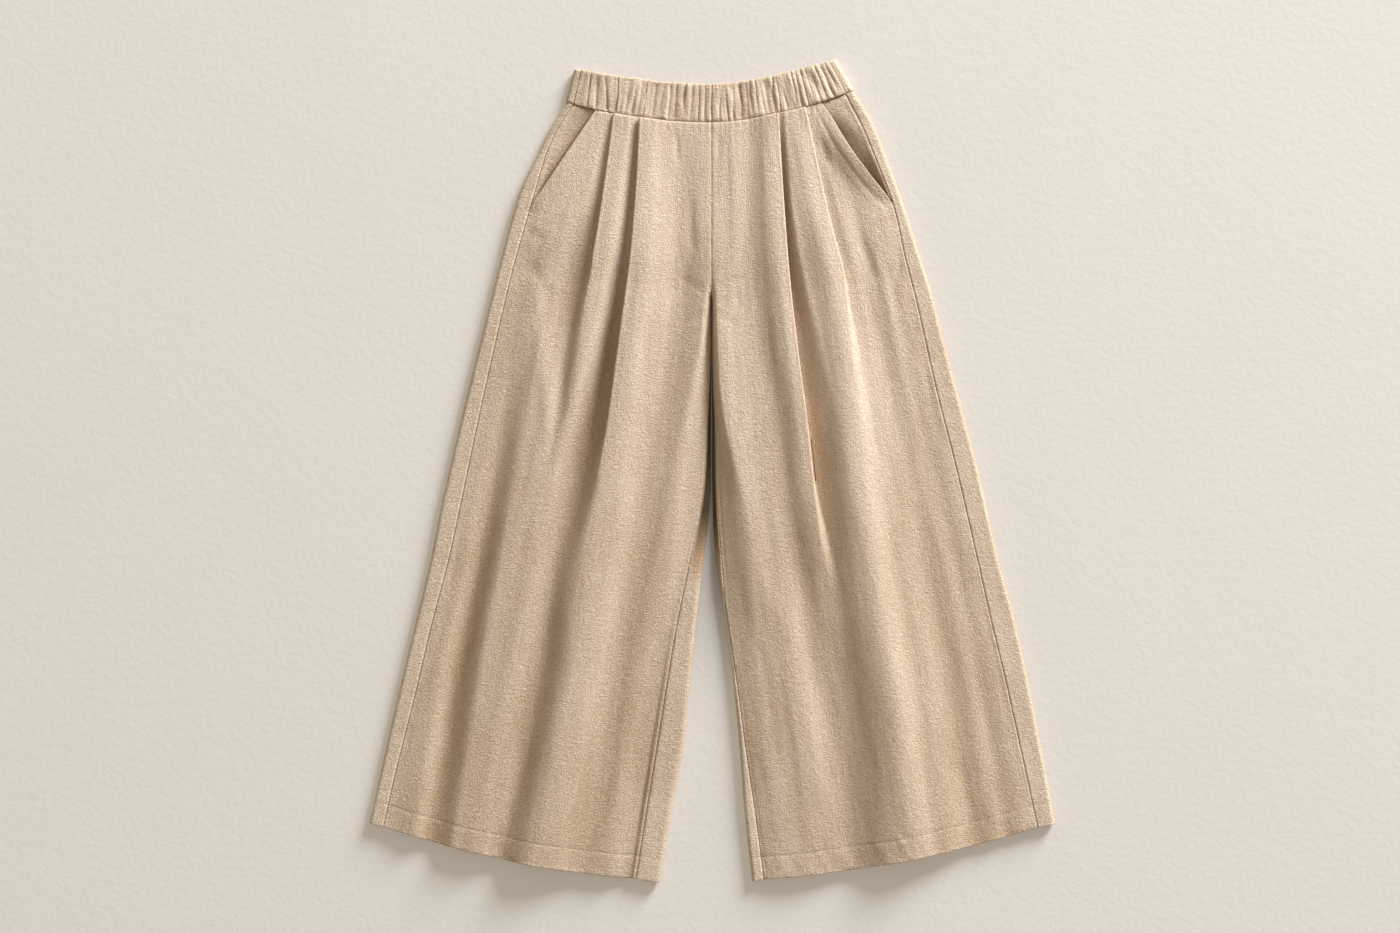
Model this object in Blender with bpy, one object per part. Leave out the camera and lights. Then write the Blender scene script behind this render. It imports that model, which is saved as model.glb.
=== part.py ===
"""Palazzo trousers laid flat with the front up.

Elasticated gathered waistband, two knife pleats on each front, slanted side
pockets and wide legs. The garment rests on the plane Z = 0: its back panels lie
flat, their edges roll up and over to the side seams and inseams, and the fronts
span between those seams with the pleats and the folds that run down from them.

X runs across the garment, +Y towards the waist and +Z up from the surface.
Tables are in millimetres. In them "out" is the distance from the centre line, so
that one set of functions serves both legs.
"""
import math
from typing import NamedTuple

import bpy

MM = 0.001

# Cloth and seams
CLOTH = 1.2                # thickness of one layer
SEAM_GAP = 0.3             # clearance between pieces that are sewn together
EDGE_RADIUS = 4.2          # centre line of the roll at the garment's edges
HEM_DEPTH = 27.0           # height of the turned-up hem
HEM_EXTRA = 1.0            # the turned-up layer, on the inside of the hem
HEM_STEP = 1.2             # length over which the hem's extra layer starts
PLEAT_PITCH = 1.55         # from layer to layer in a pressed pleat
PLEAT_UPRIGHT = 5.0        # with less overlap than this the pleat begins to stand up
PLEAT_LEAD = 3.0           # the pleat's own points start and end this far from its fold
PLEAT_POINTS = 8           # points across a pleat
POCKET_LIFT = 1.6          # the front lies this much higher where it covers the hip piece
POCKET_UNDERLAP = 30.0     # the hip piece reaches this far in under the front

# Shape of the legs
HEM_SAG = 9.5              # the hem bows down this much from the straight
CROTCH_Y = 203.5
POCKET_END = 0.152         # share of the side seam from the waist to the pocket's lower end

# Waistband
BAND_WALL = 2.4            # casing and elastic
BAND_FRONT_Z = 10.4        # centre of the front of the band
GATHER_HEIGHT = 2.6
GATHER_STEPS = 4           # columns of faces to one gather
BAND_LINES = 4             # lines of points from the waist seam to the top edge


class SideRow(NamedTuple):
    """A point of the side seam and the outer edge level with it."""

    y: float
    seam: float
    edge: float


class InnerRow(NamedTuple):
    """The leg's inner edge and the inseam level with it; equal where the seam is hidden."""

    y: float
    edge: float
    seam: float


class SlantRow(NamedTuple):
    """A point of the pocket's slanted edge, and how far that edge gapes."""

    y: float
    out: float
    gape: float


class PleatRow(NamedTuple):
    """A pleat at one height.

    out is where its fold lies, overlap the depth of the cloth folded under it and
    height the step from the cloth outside it to its upper layer. A negative overlap
    is the width of the soft slope that the pleat has opened into.
    """

    y: float
    out: float
    overlap: float
    height: float


class FoldRow(NamedTuple):
    """A soft fold at one height: a ridge where depth is positive, else a valley."""

    y: float
    out: float
    depth: float
    width: float


class LoftRow(NamedTuple):
    """How high the front stands above the leg's rolled edges."""

    y: float
    height: float


class BandRow(NamedTuple):
    """One line across the waistband, from the waist seam to the top edge."""

    seam_x: float
    seam_y: float
    top_x: float
    top_y: float


class Leg(NamedTuple):
    """One half of the trousers: its side of the centre line and its tables."""

    name: str
    sign: float
    waist_side_y: float
    hem_side_y: float
    hem_inner_y: float
    side: tuple
    inner: tuple
    slant: tuple
    pleats: tuple
    folds: tuple
    loft: tuple


WAIST_CENTRE_Y = 424.4

RIGHT_LEG = Leg(
    name="right", sign=-1.0, waist_side_y=448.1, hem_side_y=-430.1, hem_inner_y=-493.4,
    side=(
        SideRow(y=448.1, seam=168.2, edge=176.3),
        SideRow(y=418.0, seam=187.4, edge=195.5),
        SideRow(y=387.5, seam=201.1, edge=210.0),
        SideRow(y=336.0, seam=216.4, edge=234.0),
        SideRow(y=252.0, seam=240.5, edge=257.4),
        SideRow(y=168.0, seam=260.5, edge=278.3),
        SideRow(y=85.0, seam=279.1, edge=298.9),
        SideRow(y=-39.0, seam=305.1, edge=327.5),
        SideRow(y=-107.0, seam=320.0, edge=341.0),
        SideRow(y=-186.0, seam=340.6, edge=359.8),
        SideRow(y=-276.0, seam=361.8, edge=381.3),
        SideRow(y=-371.0, seam=385.5, edge=402.9),
        SideRow(y=-430.0, seam=398.7, edge=415.9),
    ),
    inner=(
        InnerRow(y=203.5, edge=0.2, seam=0.2),
        InnerRow(y=115.0, edge=5.1, seam=5.1),
        InnerRow(y=60.0, edge=7.1, seam=7.3),
        InnerRow(y=10.0, edge=8.6, seam=10.6),
        InnerRow(y=-30.0, edge=9.5, seam=14.5),
        InnerRow(y=-107.0, edge=11.0, seam=26.2),
        InnerRow(y=-186.0, edge=19.3, seam=42.5),
        InnerRow(y=-265.0, edge=27.5, seam=55.7),
        InnerRow(y=-331.0, edge=34.5, seam=66.3),
        InnerRow(y=-397.0, edge=47.0, seam=77.0),
        InnerRow(y=-463.0, edge=57.5, seam=87.4),
        InnerRow(y=-500.0, edge=63.9, seam=93.5),
    ),
    slant=(
        SlantRow(y=441.0, out=139.9, gape=0.0),
        SlantRow(y=405.0, out=164.2, gape=0.4),
        SlantRow(y=370.0, out=187.7, gape=0.8),
        SlantRow(y=335.0, out=211.3, gape=0.3),
        SlantRow(y=314.6, out=225.5, gape=0.0),
    ),
    pleats=(
        (
            PleatRow(y=440.0, out=118.0, overlap=15.0, height=3.1),
            PleatRow(y=354.0, out=129.4, overlap=13.0, height=3.4),
            PleatRow(y=276.0, out=142.5, overlap=8.0, height=4.6),
            PleatRow(y=210.0, out=151.5, overlap=2.0, height=5.0),
            PleatRow(y=150.0, out=157.0, overlap=-2.0, height=5.0),
            PleatRow(y=60.0, out=160.0, overlap=-24.0, height=3.5),
            PleatRow(y=-39.0, out=190.0, overlap=-32.0, height=1.5),
            PleatRow(y=-186.0, out=221.0, overlap=-32.0, height=0.5),
            PleatRow(y=-460.0, out=271.0, overlap=-32.0, height=0.0),
        ),
        (
            PleatRow(y=432.0, out=87.3, overlap=18.0, height=3.1),
            PleatRow(y=350.0, out=91.3, overlap=17.0, height=3.4),
            PleatRow(y=229.0, out=104.3, overlap=14.0, height=4.6),
            PleatRow(y=103.0, out=120.0, overlap=8.0, height=6.8),
            PleatRow(y=15.0, out=133.5, overlap=2.0, height=8.0),
            PleatRow(y=-60.0, out=147.5, overlap=-2.0, height=8.5),
            PleatRow(y=-150.0, out=155.0, overlap=-22.0, height=9.0),
            PleatRow(y=-238.0, out=164.0, overlap=-34.0, height=9.0),
            PleatRow(y=-371.0, out=183.0, overlap=-36.0, height=8.0),
            PleatRow(y=-470.0, out=209.0, overlap=-38.0, height=7.0),
        ),
    ),
    folds=(
        (
            FoldRow(y=170.0, out=214.0, depth=0.0, width=34.0),
            FoldRow(y=97.0, out=234.0, depth=-2.5, width=34.0),
            FoldRow(y=-39.0, out=260.0, depth=-6.0, width=36.0),
            FoldRow(y=-186.0, out=285.0, depth=-8.5, width=38.0),
            FoldRow(y=-318.0, out=306.0, depth=-9.0, width=38.0),
            FoldRow(y=-460.0, out=326.0, depth=-7.0, width=38.0),
        ),
        (
            FoldRow(y=60.0, out=154.0, depth=0.0, width=30.0),
            FoldRow(y=-39.0, out=166.0, depth=-3.5, width=32.0),
            FoldRow(y=-107.0, out=180.0, depth=-6.0, width=34.0),
            FoldRow(y=-238.0, out=199.0, depth=-8.0, width=36.0),
            FoldRow(y=-371.0, out=220.0, depth=-8.0, width=36.0),
            FoldRow(y=-470.0, out=246.0, depth=-7.0, width=38.0),
        ),
        (
            FoldRow(y=380.0, out=43.0, depth=0.0, width=26.0),
            FoldRow(y=267.0, out=31.0, depth=-0.8, width=28.0),
            FoldRow(y=110.0, out=54.0, depth=-2.0, width=34.0),
            FoldRow(y=-39.0, out=76.0, depth=-3.0, width=40.0),
            FoldRow(y=-265.0, out=98.0, depth=-4.0, width=44.0),
            FoldRow(y=-470.0, out=132.0, depth=-3.0, width=44.0),
        ),
    ),
    loft=(
        LoftRow(y=450.0, height=0.0),
        LoftRow(y=300.0, height=1.5),
        LoftRow(y=150.0, height=4.5),
        LoftRow(y=0.0, height=7.5),
        LoftRow(y=-200.0, height=10.0),
        LoftRow(y=-400.0, height=10.5),
        LoftRow(y=-500.0, height=9.5),
    ),
)

LEFT_LEG = Leg(
    name="left", sign=1.0, waist_side_y=459.2, hem_side_y=-431.5, hem_inner_y=-494.6,
    side=(
        SideRow(y=459.2, seam=162.3, edge=172.8),
        SideRow(y=419.4, seam=183.2, edge=196.1),
        SideRow(y=369.7, seam=203.5, edge=216.1),
        SideRow(y=321.5, seam=221.5, edge=233.5),
        SideRow(y=259.5, seam=235.5, edge=253.0),
        SideRow(y=209.6, seam=248.3, edge=268.4),
        SideRow(y=105.3, seam=271.9, edge=295.3),
        SideRow(y=-1.6, seam=298.8, edge=323.7),
        SideRow(y=-106.9, seam=323.1, edge=347.8),
        SideRow(y=-178.7, seam=339.2, edge=367.0),
        SideRow(y=-250.5, seam=356.5, edge=383.0),
        SideRow(y=-336.6, seam=375.6, edge=400.0),
        SideRow(y=-394.1, seam=388.0, edge=411.0),
        SideRow(y=-432.0, seam=395.8, edge=418.0),
    ),
    inner=(
        InnerRow(y=203.5, edge=0.2, seam=0.2),
        InnerRow(y=114.6, edge=2.8, seam=2.8),
        InnerRow(y=35.5, edge=3.6, seam=3.6),
        InnerRow(y=-26.5, edge=5.6, seam=5.6),
        InnerRow(y=-106.9, edge=11.6, seam=11.6),
        InnerRow(y=-164.0, edge=16.2, seam=16.8),
        InnerRow(y=-250.5, edge=25.7, seam=30.0),
        InnerRow(y=-336.6, edge=34.0, seam=41.5),
        InnerRow(y=-408.4, edge=39.5, seam=52.1),
        InnerRow(y=-498.0, edge=49.3, seam=64.0),
    ),
    slant=(
        SlantRow(y=450.6, out=132.0, gape=0.0),
        SlantRow(y=433.5, out=144.4, gape=2.0),
        SlantRow(y=401.0, out=163.5, gape=6.5),
        SlantRow(y=370.0, out=185.5, gape=6.0),
        SlantRow(y=340.0, out=209.7, gape=1.5),
        SlantRow(y=321.5, out=223.0, gape=0.0),
    ),
    pleats=(
        (
            PleatRow(y=445.0, out=113.3, overlap=15.0, height=3.1),
            PleatRow(y=378.7, out=127.5, overlap=14.0, height=3.4),
            PleatRow(y=298.0, out=145.5, overlap=9.0, height=4.6),
            PleatRow(y=239.0, out=166.0, overlap=3.0, height=5.2),
            PleatRow(y=180.0, out=172.0, overlap=-2.0, height=5.2),
            PleatRow(y=100.0, out=178.0, overlap=-14.0, height=4.6),
            PleatRow(y=35.0, out=184.0, overlap=-24.0, height=4.4),
            PleatRow(y=-105.0, out=202.0, overlap=-32.0, height=4.2),
            PleatRow(y=-279.0, out=237.0, overlap=-36.0, height=4.0),
            PleatRow(y=-460.0, out=257.0, overlap=-38.0, height=3.5),
        ),
        (
            PleatRow(y=437.0, out=80.9, overlap=18.0, height=3.1),
            PleatRow(y=352.0, out=85.7, overlap=17.0, height=3.4),
            PleatRow(y=239.0, out=94.1, overlap=13.0, height=4.6),
            PleatRow(y=147.0, out=105.5, overlap=8.0, height=6.6),
            PleatRow(y=60.0, out=117.0, overlap=2.0, height=8.0),
            PleatRow(y=-20.0, out=129.5, overlap=-2.0, height=8.5),
            PleatRow(y=-100.0, out=138.0, overlap=-18.0, height=9.0),
            PleatRow(y=-186.0, out=148.0, overlap=-30.0, height=8.8),
            PleatRow(y=-279.0, out=154.0, overlap=-34.0, height=8.0),
            PleatRow(y=-470.0, out=173.0, overlap=-36.0, height=6.5),
        ),
    ),
    folds=(
        (
            FoldRow(y=300.0, out=104.0, depth=0.0, width=20.0),
            FoldRow(y=210.0, out=114.0, depth=-0.6, width=26.0),
            FoldRow(y=85.0, out=134.0, depth=-3.0, width=34.0),
            FoldRow(y=-63.0, out=154.0, depth=-6.5, width=40.0),
            FoldRow(y=-207.0, out=180.0, depth=-8.5, width=44.0),
            FoldRow(y=-337.0, out=196.0, depth=-8.5, width=44.0),
            FoldRow(y=-470.0, out=212.0, depth=-7.0, width=46.0),
        ),
        (
            FoldRow(y=380.0, out=56.0, depth=0.0, width=28.0),
            FoldRow(y=229.0, out=60.0, depth=-1.2, width=30.0),
            FoldRow(y=85.0, out=80.0, depth=-2.2, width=36.0),
            FoldRow(y=-107.0, out=54.0, depth=-3.0, width=40.0),
            FoldRow(y=-300.0, out=78.0, depth=-3.5, width=44.0),
            FoldRow(y=-470.0, out=98.0, depth=-3.0, width=44.0),
        ),
        (
            FoldRow(y=210.0, out=214.0, depth=0.0, width=34.0),
            FoldRow(y=60.0, out=246.0, depth=-2.0, width=36.0),
            FoldRow(y=-107.0, out=278.0, depth=-4.5, width=40.0),
            FoldRow(y=-279.0, out=306.0, depth=-6.0, width=44.0),
            FoldRow(y=-470.0, out=334.0, depth=-5.5, width=44.0),
        ),
    ),
    loft=(
        LoftRow(y=450.0, height=0.0),
        LoftRow(y=300.0, height=1.5),
        LoftRow(y=150.0, height=4.5),
        LoftRow(y=0.0, height=7.5),
        LoftRow(y=-200.0, height=10.0),
        LoftRow(y=-400.0, height=10.5),
        LoftRow(y=-500.0, height=9.5),
    ),
)

BAND = (
    BandRow(seam_x=-176.3, seam_y=448.7, top_x=-165.5, top_y=490.1),
    BandRow(seam_x=-142.1, seam_y=440.1, top_x=-136.0, top_y=484.2),
    BandRow(seam_x=-87.5, seam_y=430.7, top_x=-80.1, top_y=476.1),
    BandRow(seam_x=-48.0, seam_y=426.0, top_x=-44.0, top_y=472.2),
    BandRow(seam_x=0.0, seam_y=424.4, top_x=0.0, top_y=470.6),
    BandRow(seam_x=38.0, seam_y=427.3, top_x=34.0, top_y=473.8),
    BandRow(seam_x=80.4, seam_y=435.6, top_x=72.8, top_y=480.4),
    BandRow(seam_x=112.6, seam_y=443.0, top_x=98.3, top_y=486.8),
    BandRow(seam_x=141.3, seam_y=451.8, top_x=124.0, top_y=493.5),
    BandRow(seam_x=172.2, seam_y=463.0, top_x=149.7, top_y=500.4),
)

# Troughs between the waistband's gathers, as distances from the centre-front join
GATHERS_RIGHT = (8, 16, 26, 35, 46, 54, 63, 73, 83, 90, 98, 106, 116, 130, 141, 152)
GATHERS_LEFT = (10, 15, 20, 28, 37, 46, 51, 58, 65, 75, 85, 93, 104, 111, 118, 124, 131, 137, 144)
BAND_SIDE_JOIN = 9.0       # the band's back reaches this far over its rolled ends

# Cross lines of a leg, as shares of the way from the waist to the hem
CROTCH = (WAIST_CENTRE_Y - CROTCH_Y) / (WAIST_CENTRE_Y - RIGHT_LEG.hem_inner_y)
CROTCH_TURN = 0.010        # share over which the centre seam turns down at the crotch
HEM_LINE = 1.0 - HEM_DEPTH / (WAIST_CENTRE_Y - RIGHT_LEG.hem_inner_y)
HEM_START = HEM_LINE - HEM_STEP / (WAIST_CENTRE_Y - RIGHT_LEG.hem_inner_y)
POCKET_BELOW = POCKET_END - 0.007  # last line above the pocket's lower end
SEAT_LINES = (0.0, 0.035, 0.075, 0.112, POCKET_BELOW, POCKET_END, 0.19)
LEG_LINES = tuple(0.305 + 0.0642 * step for step in range(11))
LINES = (SEAT_LINES + (CROTCH - CROTCH_TURN, CROTCH, 0.268) + LEG_LINES
         + (HEM_START, HEM_LINE, 1.0))
HIP_LINES = SEAT_LINES[:4] + (POCKET_BELOW - 0.002,)

ROLL_STEPS = 3             # faces round a half of an edge's roll
FRONT_ROLL_POINTS = 4      # points of a front on the roll of the leg's inner edge
SIDE_COLUMNS = 7           # faces from the front's outer boundary to its outer pleat
PANEL_COLUMNS = 5          # faces between the pleats
CENTRE_COLUMNS = 8         # faces from the inner pleat to the leg's inner edge
BACK_COLUMNS = 10          # faces across the flat of the back
HIP_COLUMNS = 4
ARCH_WIDTH = 62.0          # distance over which the front rises from its edges
STEP_DECAY = 58.0          # distance over which a pleat's step dies away
GAPE_REACH = 34.0          # the pocket's gape dies away this far in from its edge
COVER_EASE = 16.0          # below the pocket the front comes down to its seam over this
COVER_FADE = (0.172, 0.232)  # shares of the leg between which the pocket's lift fades
FRONT_ROLL_REACH = 10.0    # length of the front that follows the roll of the inner edge
FRONT_ROLL_SPREAD = 1.4    # its points crowd towards the seam by this power
CREST_POWER = 0.8          # below 1 a gather's crest is rounder than a sine
CREST_AT_EDGES = 0.55      # height of the gathers along the band's two sewn edges
BAND_TURN = (40.0, 10.0)   # the band's front comes down to its joins between these distances
SLANT_TRIES = 12


def smooth(share):
    """A step from 0 to 1 with level ends."""
    share = min(max(share, 0.0), 1.0)
    return share * share * (3.0 - 2.0 * share)


def blend(low, high, share):
    """The value a share of the way from low to high."""
    return low + (high - low) * share


def along(rows, key, at, column):
    """The value of a table's column at a key, on a smooth curve through its rows."""
    ordered = sorted(rows, key=lambda row: getattr(row, key))
    keys = [getattr(row, key) for row in ordered]
    values = [getattr(row, column) for row in ordered]
    at = min(max(at, keys[0]), keys[-1])
    index = 0
    while index < len(keys) - 2 and at > keys[index + 1]:
        index += 1
    span = keys[index + 1] - keys[index]
    share = (at - keys[index]) / span

    def slope(point):
        low = max(point - 1, 0)
        high = min(point + 1, len(keys) - 1)
        return (values[high] - values[low]) / (keys[high] - keys[low])

    start = slope(index) * span
    end = slope(index + 1) * span
    rise = values[index + 1] - values[index]
    return (values[index] + share * (start + share * (3.0 * rise - 2.0 * start - end
            + share * (start + end - 2.0 * rise))))


class Line:
    """One cross line of a leg, from its side seam to its centre seam or inseam."""

    def __init__(self, leg, share):
        self.leg = leg
        self.share = share
        self.side_y = blend(leg.waist_side_y, leg.hem_side_y, share)
        self.inner_y = blend(WAIST_CENTRE_Y, leg.hem_inner_y, share)
        self.seam = along(leg.side, "y", self.side_y, "seam")
        self.edge = along(leg.side, "y", self.side_y, "edge") - CLOTH / 2.0
        self.turned = smooth((share - CROTCH + CROTCH_TURN) / CROTCH_TURN)
        self.inner_edge = SEAM_GAP / 2.0 + self.turned * CLOTH / 2.0
        self.inner_seam = self.inner_edge
        if share > CROTCH:
            self.inner_edge += along(leg.inner, "y", self.inner_y, "edge")
            self.inner_seam = max(along(leg.inner, "y", self.inner_y, "seam"), self.inner_edge)
        self.hem = share >= HEM_LINE

    def y(self, out):
        """The height on the garment of the point this far out on the line."""
        across = (self.seam - out) / (self.seam - self.inner_seam)
        waist_seam = along(self.leg.side, "y", self.leg.waist_side_y, "seam")
        waist_x = self.leg.sign * blend(waist_seam, SEAM_GAP / 2.0, across)
        waist_chord = blend(self.leg.waist_side_y, WAIST_CENTRE_Y, across)
        waist_bow = along(BAND, "seam_x", waist_x, "seam_y") - waist_chord
        hem_bow = -HEM_SAG * max(4.0 * across * (1.0 - across), 0.0)
        return blend(self.side_y, self.inner_y, across) + blend(waist_bow, hem_bow, self.share)

    def slant(self):
        """Where the pocket's slanted edge crosses the line."""
        out = along(self.leg.slant, "y", self.side_y, "out")
        for _ in range(SLANT_TRIES):
            out = along(self.leg.slant, "y", self.y(out), "out")
        return out

    def loft(self, out, boundary):
        """Height of the front above the rolled edges, without its pleats."""
        y = self.y(out)
        rise = smooth((boundary - out) / ARCH_WIDTH) * smooth((out - self.inner_edge) / ARCH_WIDTH)
        height = along(self.leg.loft, "y", y, "height")
        for fold in self.leg.folds:
            centre = along(fold, "y", y, "out")
            width = along(fold, "y", y, "width")
            depth = along(fold, "y", y, "depth")
            height += depth * smooth(1.0 - abs(out - centre) / width)
        return max(height * rise, 0.0)


def rolled(edge, distance, inward):
    """A point of an edge's roll, by distance along it from its outermost point.

    A positive distance runs over the top and a negative one underneath. inward is
    the direction from the edge into the garment, along "out".
    """
    quarter = EDGE_RADIUS * math.pi / 2.0
    middle = CLOTH / 2.0 + EDGE_RADIUS
    if abs(distance) <= quarter:
        angle = distance / EDGE_RADIUS
        reach = EDGE_RADIUS * (1.0 - math.cos(angle))
        return edge + inward * reach, middle + EDGE_RADIUS * math.sin(angle)
    reach = EDGE_RADIUS + abs(distance) - quarter
    return edge + inward * reach, middle + math.copysign(EDGE_RADIUS, distance)


def seam_distance(width):
    """Distance along the roll to a seam seen this far in from the edge."""
    if width < EDGE_RADIUS:
        return EDGE_RADIUS * math.acos(1.0 - max(width, 0.0) / EDGE_RADIUS)
    return EDGE_RADIUS * math.pi / 2.0 + width - EDGE_RADIUS


TOP_OF_ROLL = CLOTH / 2.0 + 2.0 * EDGE_RADIUS


def pleat_shape(overlap):
    """A pleat's section: distances inwards from its fold and shares of its height.

    Pressed, it runs in under the upper layer, back out to the fold and in again.
    Opened, it is a slope. In between it stands upright.
    """
    turn = PLEAT_PITCH / 2.0
    shares = [index / (PLEAT_POINTS - 1) for index in range(PLEAT_POINTS)]
    width = max(-overlap, PLEAT_LEAD)
    slope = [(width * (share - 1.0) + PLEAT_LEAD / 2.0, smooth(share)) for share in shares]
    if overlap <= 0.0:
        return slope
    pressed = (
        (-PLEAT_LEAD, 0.0), (overlap - turn, 0.0), (overlap, 0.25), (overlap - turn, 0.5),
        (turn, 0.5), (0.0, 0.75), (turn, 1.0), (PLEAT_LEAD, 1.0),
    )
    share = smooth(overlap / PLEAT_UPRIGHT)
    return [(blend(soft[0], flat[0], share), blend(soft[1], flat[1], share))
            for soft, flat in zip(slope, pressed)]


def pleat_points(line, pleat, height_at):
    """The points of a pleat on a line, where its overlap ends, and its step in height."""
    y = line.y(along(pleat, "y", line.side_y, "out"))
    y = line.y(along(pleat, "y", y, "out"))
    fold = along(pleat, "y", y, "out")
    overlap = along(pleat, "y", y, "overlap")
    step = along(pleat, "y", y, "height")
    if overlap > 0.0:
        step = max(step, 2.0 * PLEAT_PITCH)
    points = [(fold - inward, height_at(fold - inward) + level * step)
              for inward, level in pleat_shape(overlap)]
    return points, fold - max(overlap, 0.0), step


def front_path(line):
    """Centre line of a front's cross section, from its outer boundary inwards."""
    in_pocket = line.share < POCKET_END
    boundary = line.seam - SEAM_GAP / 2.0
    if in_pocket:
        boundary = min(boundary, line.slant())
    gape = along(line.leg.slant, "y", line.y(boundary), "gape") if in_pocket else 0.0
    cover = 1.0 - smooth((line.share - COVER_FADE[0]) / (COVER_FADE[1] - COVER_FADE[0]))

    def height_at(out):
        inside = boundary - out
        covered = cover if in_pocket else cover * smooth(inside / COVER_EASE)
        open_edge = gape * (1.0 - smooth(inside / GAPE_REACH))
        return TOP_OF_ROLL + POCKET_LIFT * covered + open_edge + line.loft(out, boundary)

    outer, outer_end, outer_step = pleat_points(line, line.leg.pleats[0], height_at)

    def between(out):
        return height_at(out) + outer_step * (1.0 - smooth((outer_end - out) / STEP_DECAY))

    inner, inner_end, inner_step = pleat_points(line, line.leg.pleats[1], between)

    def centre(out):
        return between(out) + inner_step * (1.0 - smooth((inner_end - out) / STEP_DECAY))

    path = []
    for index in range(SIDE_COLUMNS):
        out = blend(boundary, outer[0][0], index / SIDE_COLUMNS)
        path.append((out, height_at(out)))
    path += outer
    for index in range(1, PANEL_COLUMNS):
        out = blend(outer[-1][0], inner[0][0], index / PANEL_COLUMNS)
        path.append((out, between(out)))
    path += inner
    start = seam_distance(line.inner_seam - line.inner_edge) + SEAM_GAP / 2.0
    shoulder = rolled(line.inner_edge, start + FRONT_ROLL_REACH, 1.0)[0]
    for index in range(1, CENTRE_COLUMNS):
        out = blend(inner[-1][0], shoulder, index / CENTRE_COLUMNS)
        path.append((out, centre(out)))
    for index in range(FRONT_ROLL_POINTS):
        share = (1.0 - index / (FRONT_ROLL_POINTS - 1)) ** FRONT_ROLL_SPREAD
        out, height = rolled(line.inner_edge, start + FRONT_ROLL_REACH * share, 1.0)
        flat = line.inner_edge + FRONT_ROLL_REACH * share
        out = blend(flat, out, line.turned)
        ease = smooth(share)
        rest = blend(TOP_OF_ROLL, height, line.turned)
        path.append((out, rest + (centre(out) - TOP_OF_ROLL) * ease))
    return path


def back_path(line):
    """Centre line of a back's cross section, from the inseam under to the side seam."""
    side_end = seam_distance(line.edge - line.seam) - SEAM_GAP / 2.0
    quarter = EDGE_RADIUS * math.pi / 2.0
    path = []
    for index in range(3):
        path.append(rolled(line.edge, blend(side_end, quarter, index / 3), -1.0))
    for index in range(2 * ROLL_STEPS + 1):
        path.append(rolled(line.edge, quarter * (1.0 - index / ROLL_STEPS), -1.0))
    inner_end = seam_distance(line.inner_seam - line.inner_edge) - SEAM_GAP / 2.0
    inner_roll = []
    steps = 2 * ROLL_STEPS
    for index in range(steps + 1):
        distance = blend(-quarter - 2.0, inner_end, index / steps)
        out, height = rolled(line.inner_edge, distance, 1.0)
        flat = line.inner_edge + quarter * (1.0 - index / steps)
        out = blend(flat, out, line.turned)
        inner_roll.append((out, blend(CLOTH / 2.0, height, line.turned)))
    start = path[-1][0]
    for index in range(1, BACK_COLUMNS):
        path.append((blend(start, inner_roll[0][0], index / BACK_COLUMNS), CLOTH / 2.0))
    path += inner_roll
    return path[::-1]


def hip_path(line):
    """Centre line of a hip piece's cross section, from the side seam inwards."""
    start = line.seam - SEAM_GAP / 2.0
    finish = line.slant() - POCKET_UNDERLAP
    columns = [blend(start, finish, index / HIP_COLUMNS) for index in range(HIP_COLUMNS + 1)]
    return [(out, TOP_OF_ROLL) for out in columns]


def inseam_normal(line, under):
    """Outward direction of the roll at the inseam, the same for both of its pieces."""
    distance = min(seam_distance(line.inner_seam - line.inner_edge), EDGE_RADIUS * math.pi / 2.0)
    angle = distance / EDGE_RADIUS
    flat = -1.0 if under else 1.0
    across = -math.cos(angle) * line.turned
    upward = blend(flat, math.sin(angle), line.turned)
    length = math.hypot(across, upward)
    return across / length, upward / length


def wall_section(path, outer, inner, normals=None):
    """Both faces of a wall whose centre line is a path of (out, height) points.

    normals gives the outward direction at chosen points, by their index.
    """
    normals = normals or {}
    faces = ([], [])
    for index, (out, height) in enumerate(path):
        before = path[max(index - 1, 0)]
        after = path[min(index + 1, len(path) - 1)]
        run = after[0] - before[0]
        rise = after[1] - before[1]
        length = math.hypot(run, rise)
        normal = normals.get(index, (rise / length, -run / length))
        faces[0].append((out + normal[0] * outer, height + normal[1] * outer))
        faces[1].append((out - normal[0] * inner, height - normal[1] * inner))
    return faces


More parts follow.
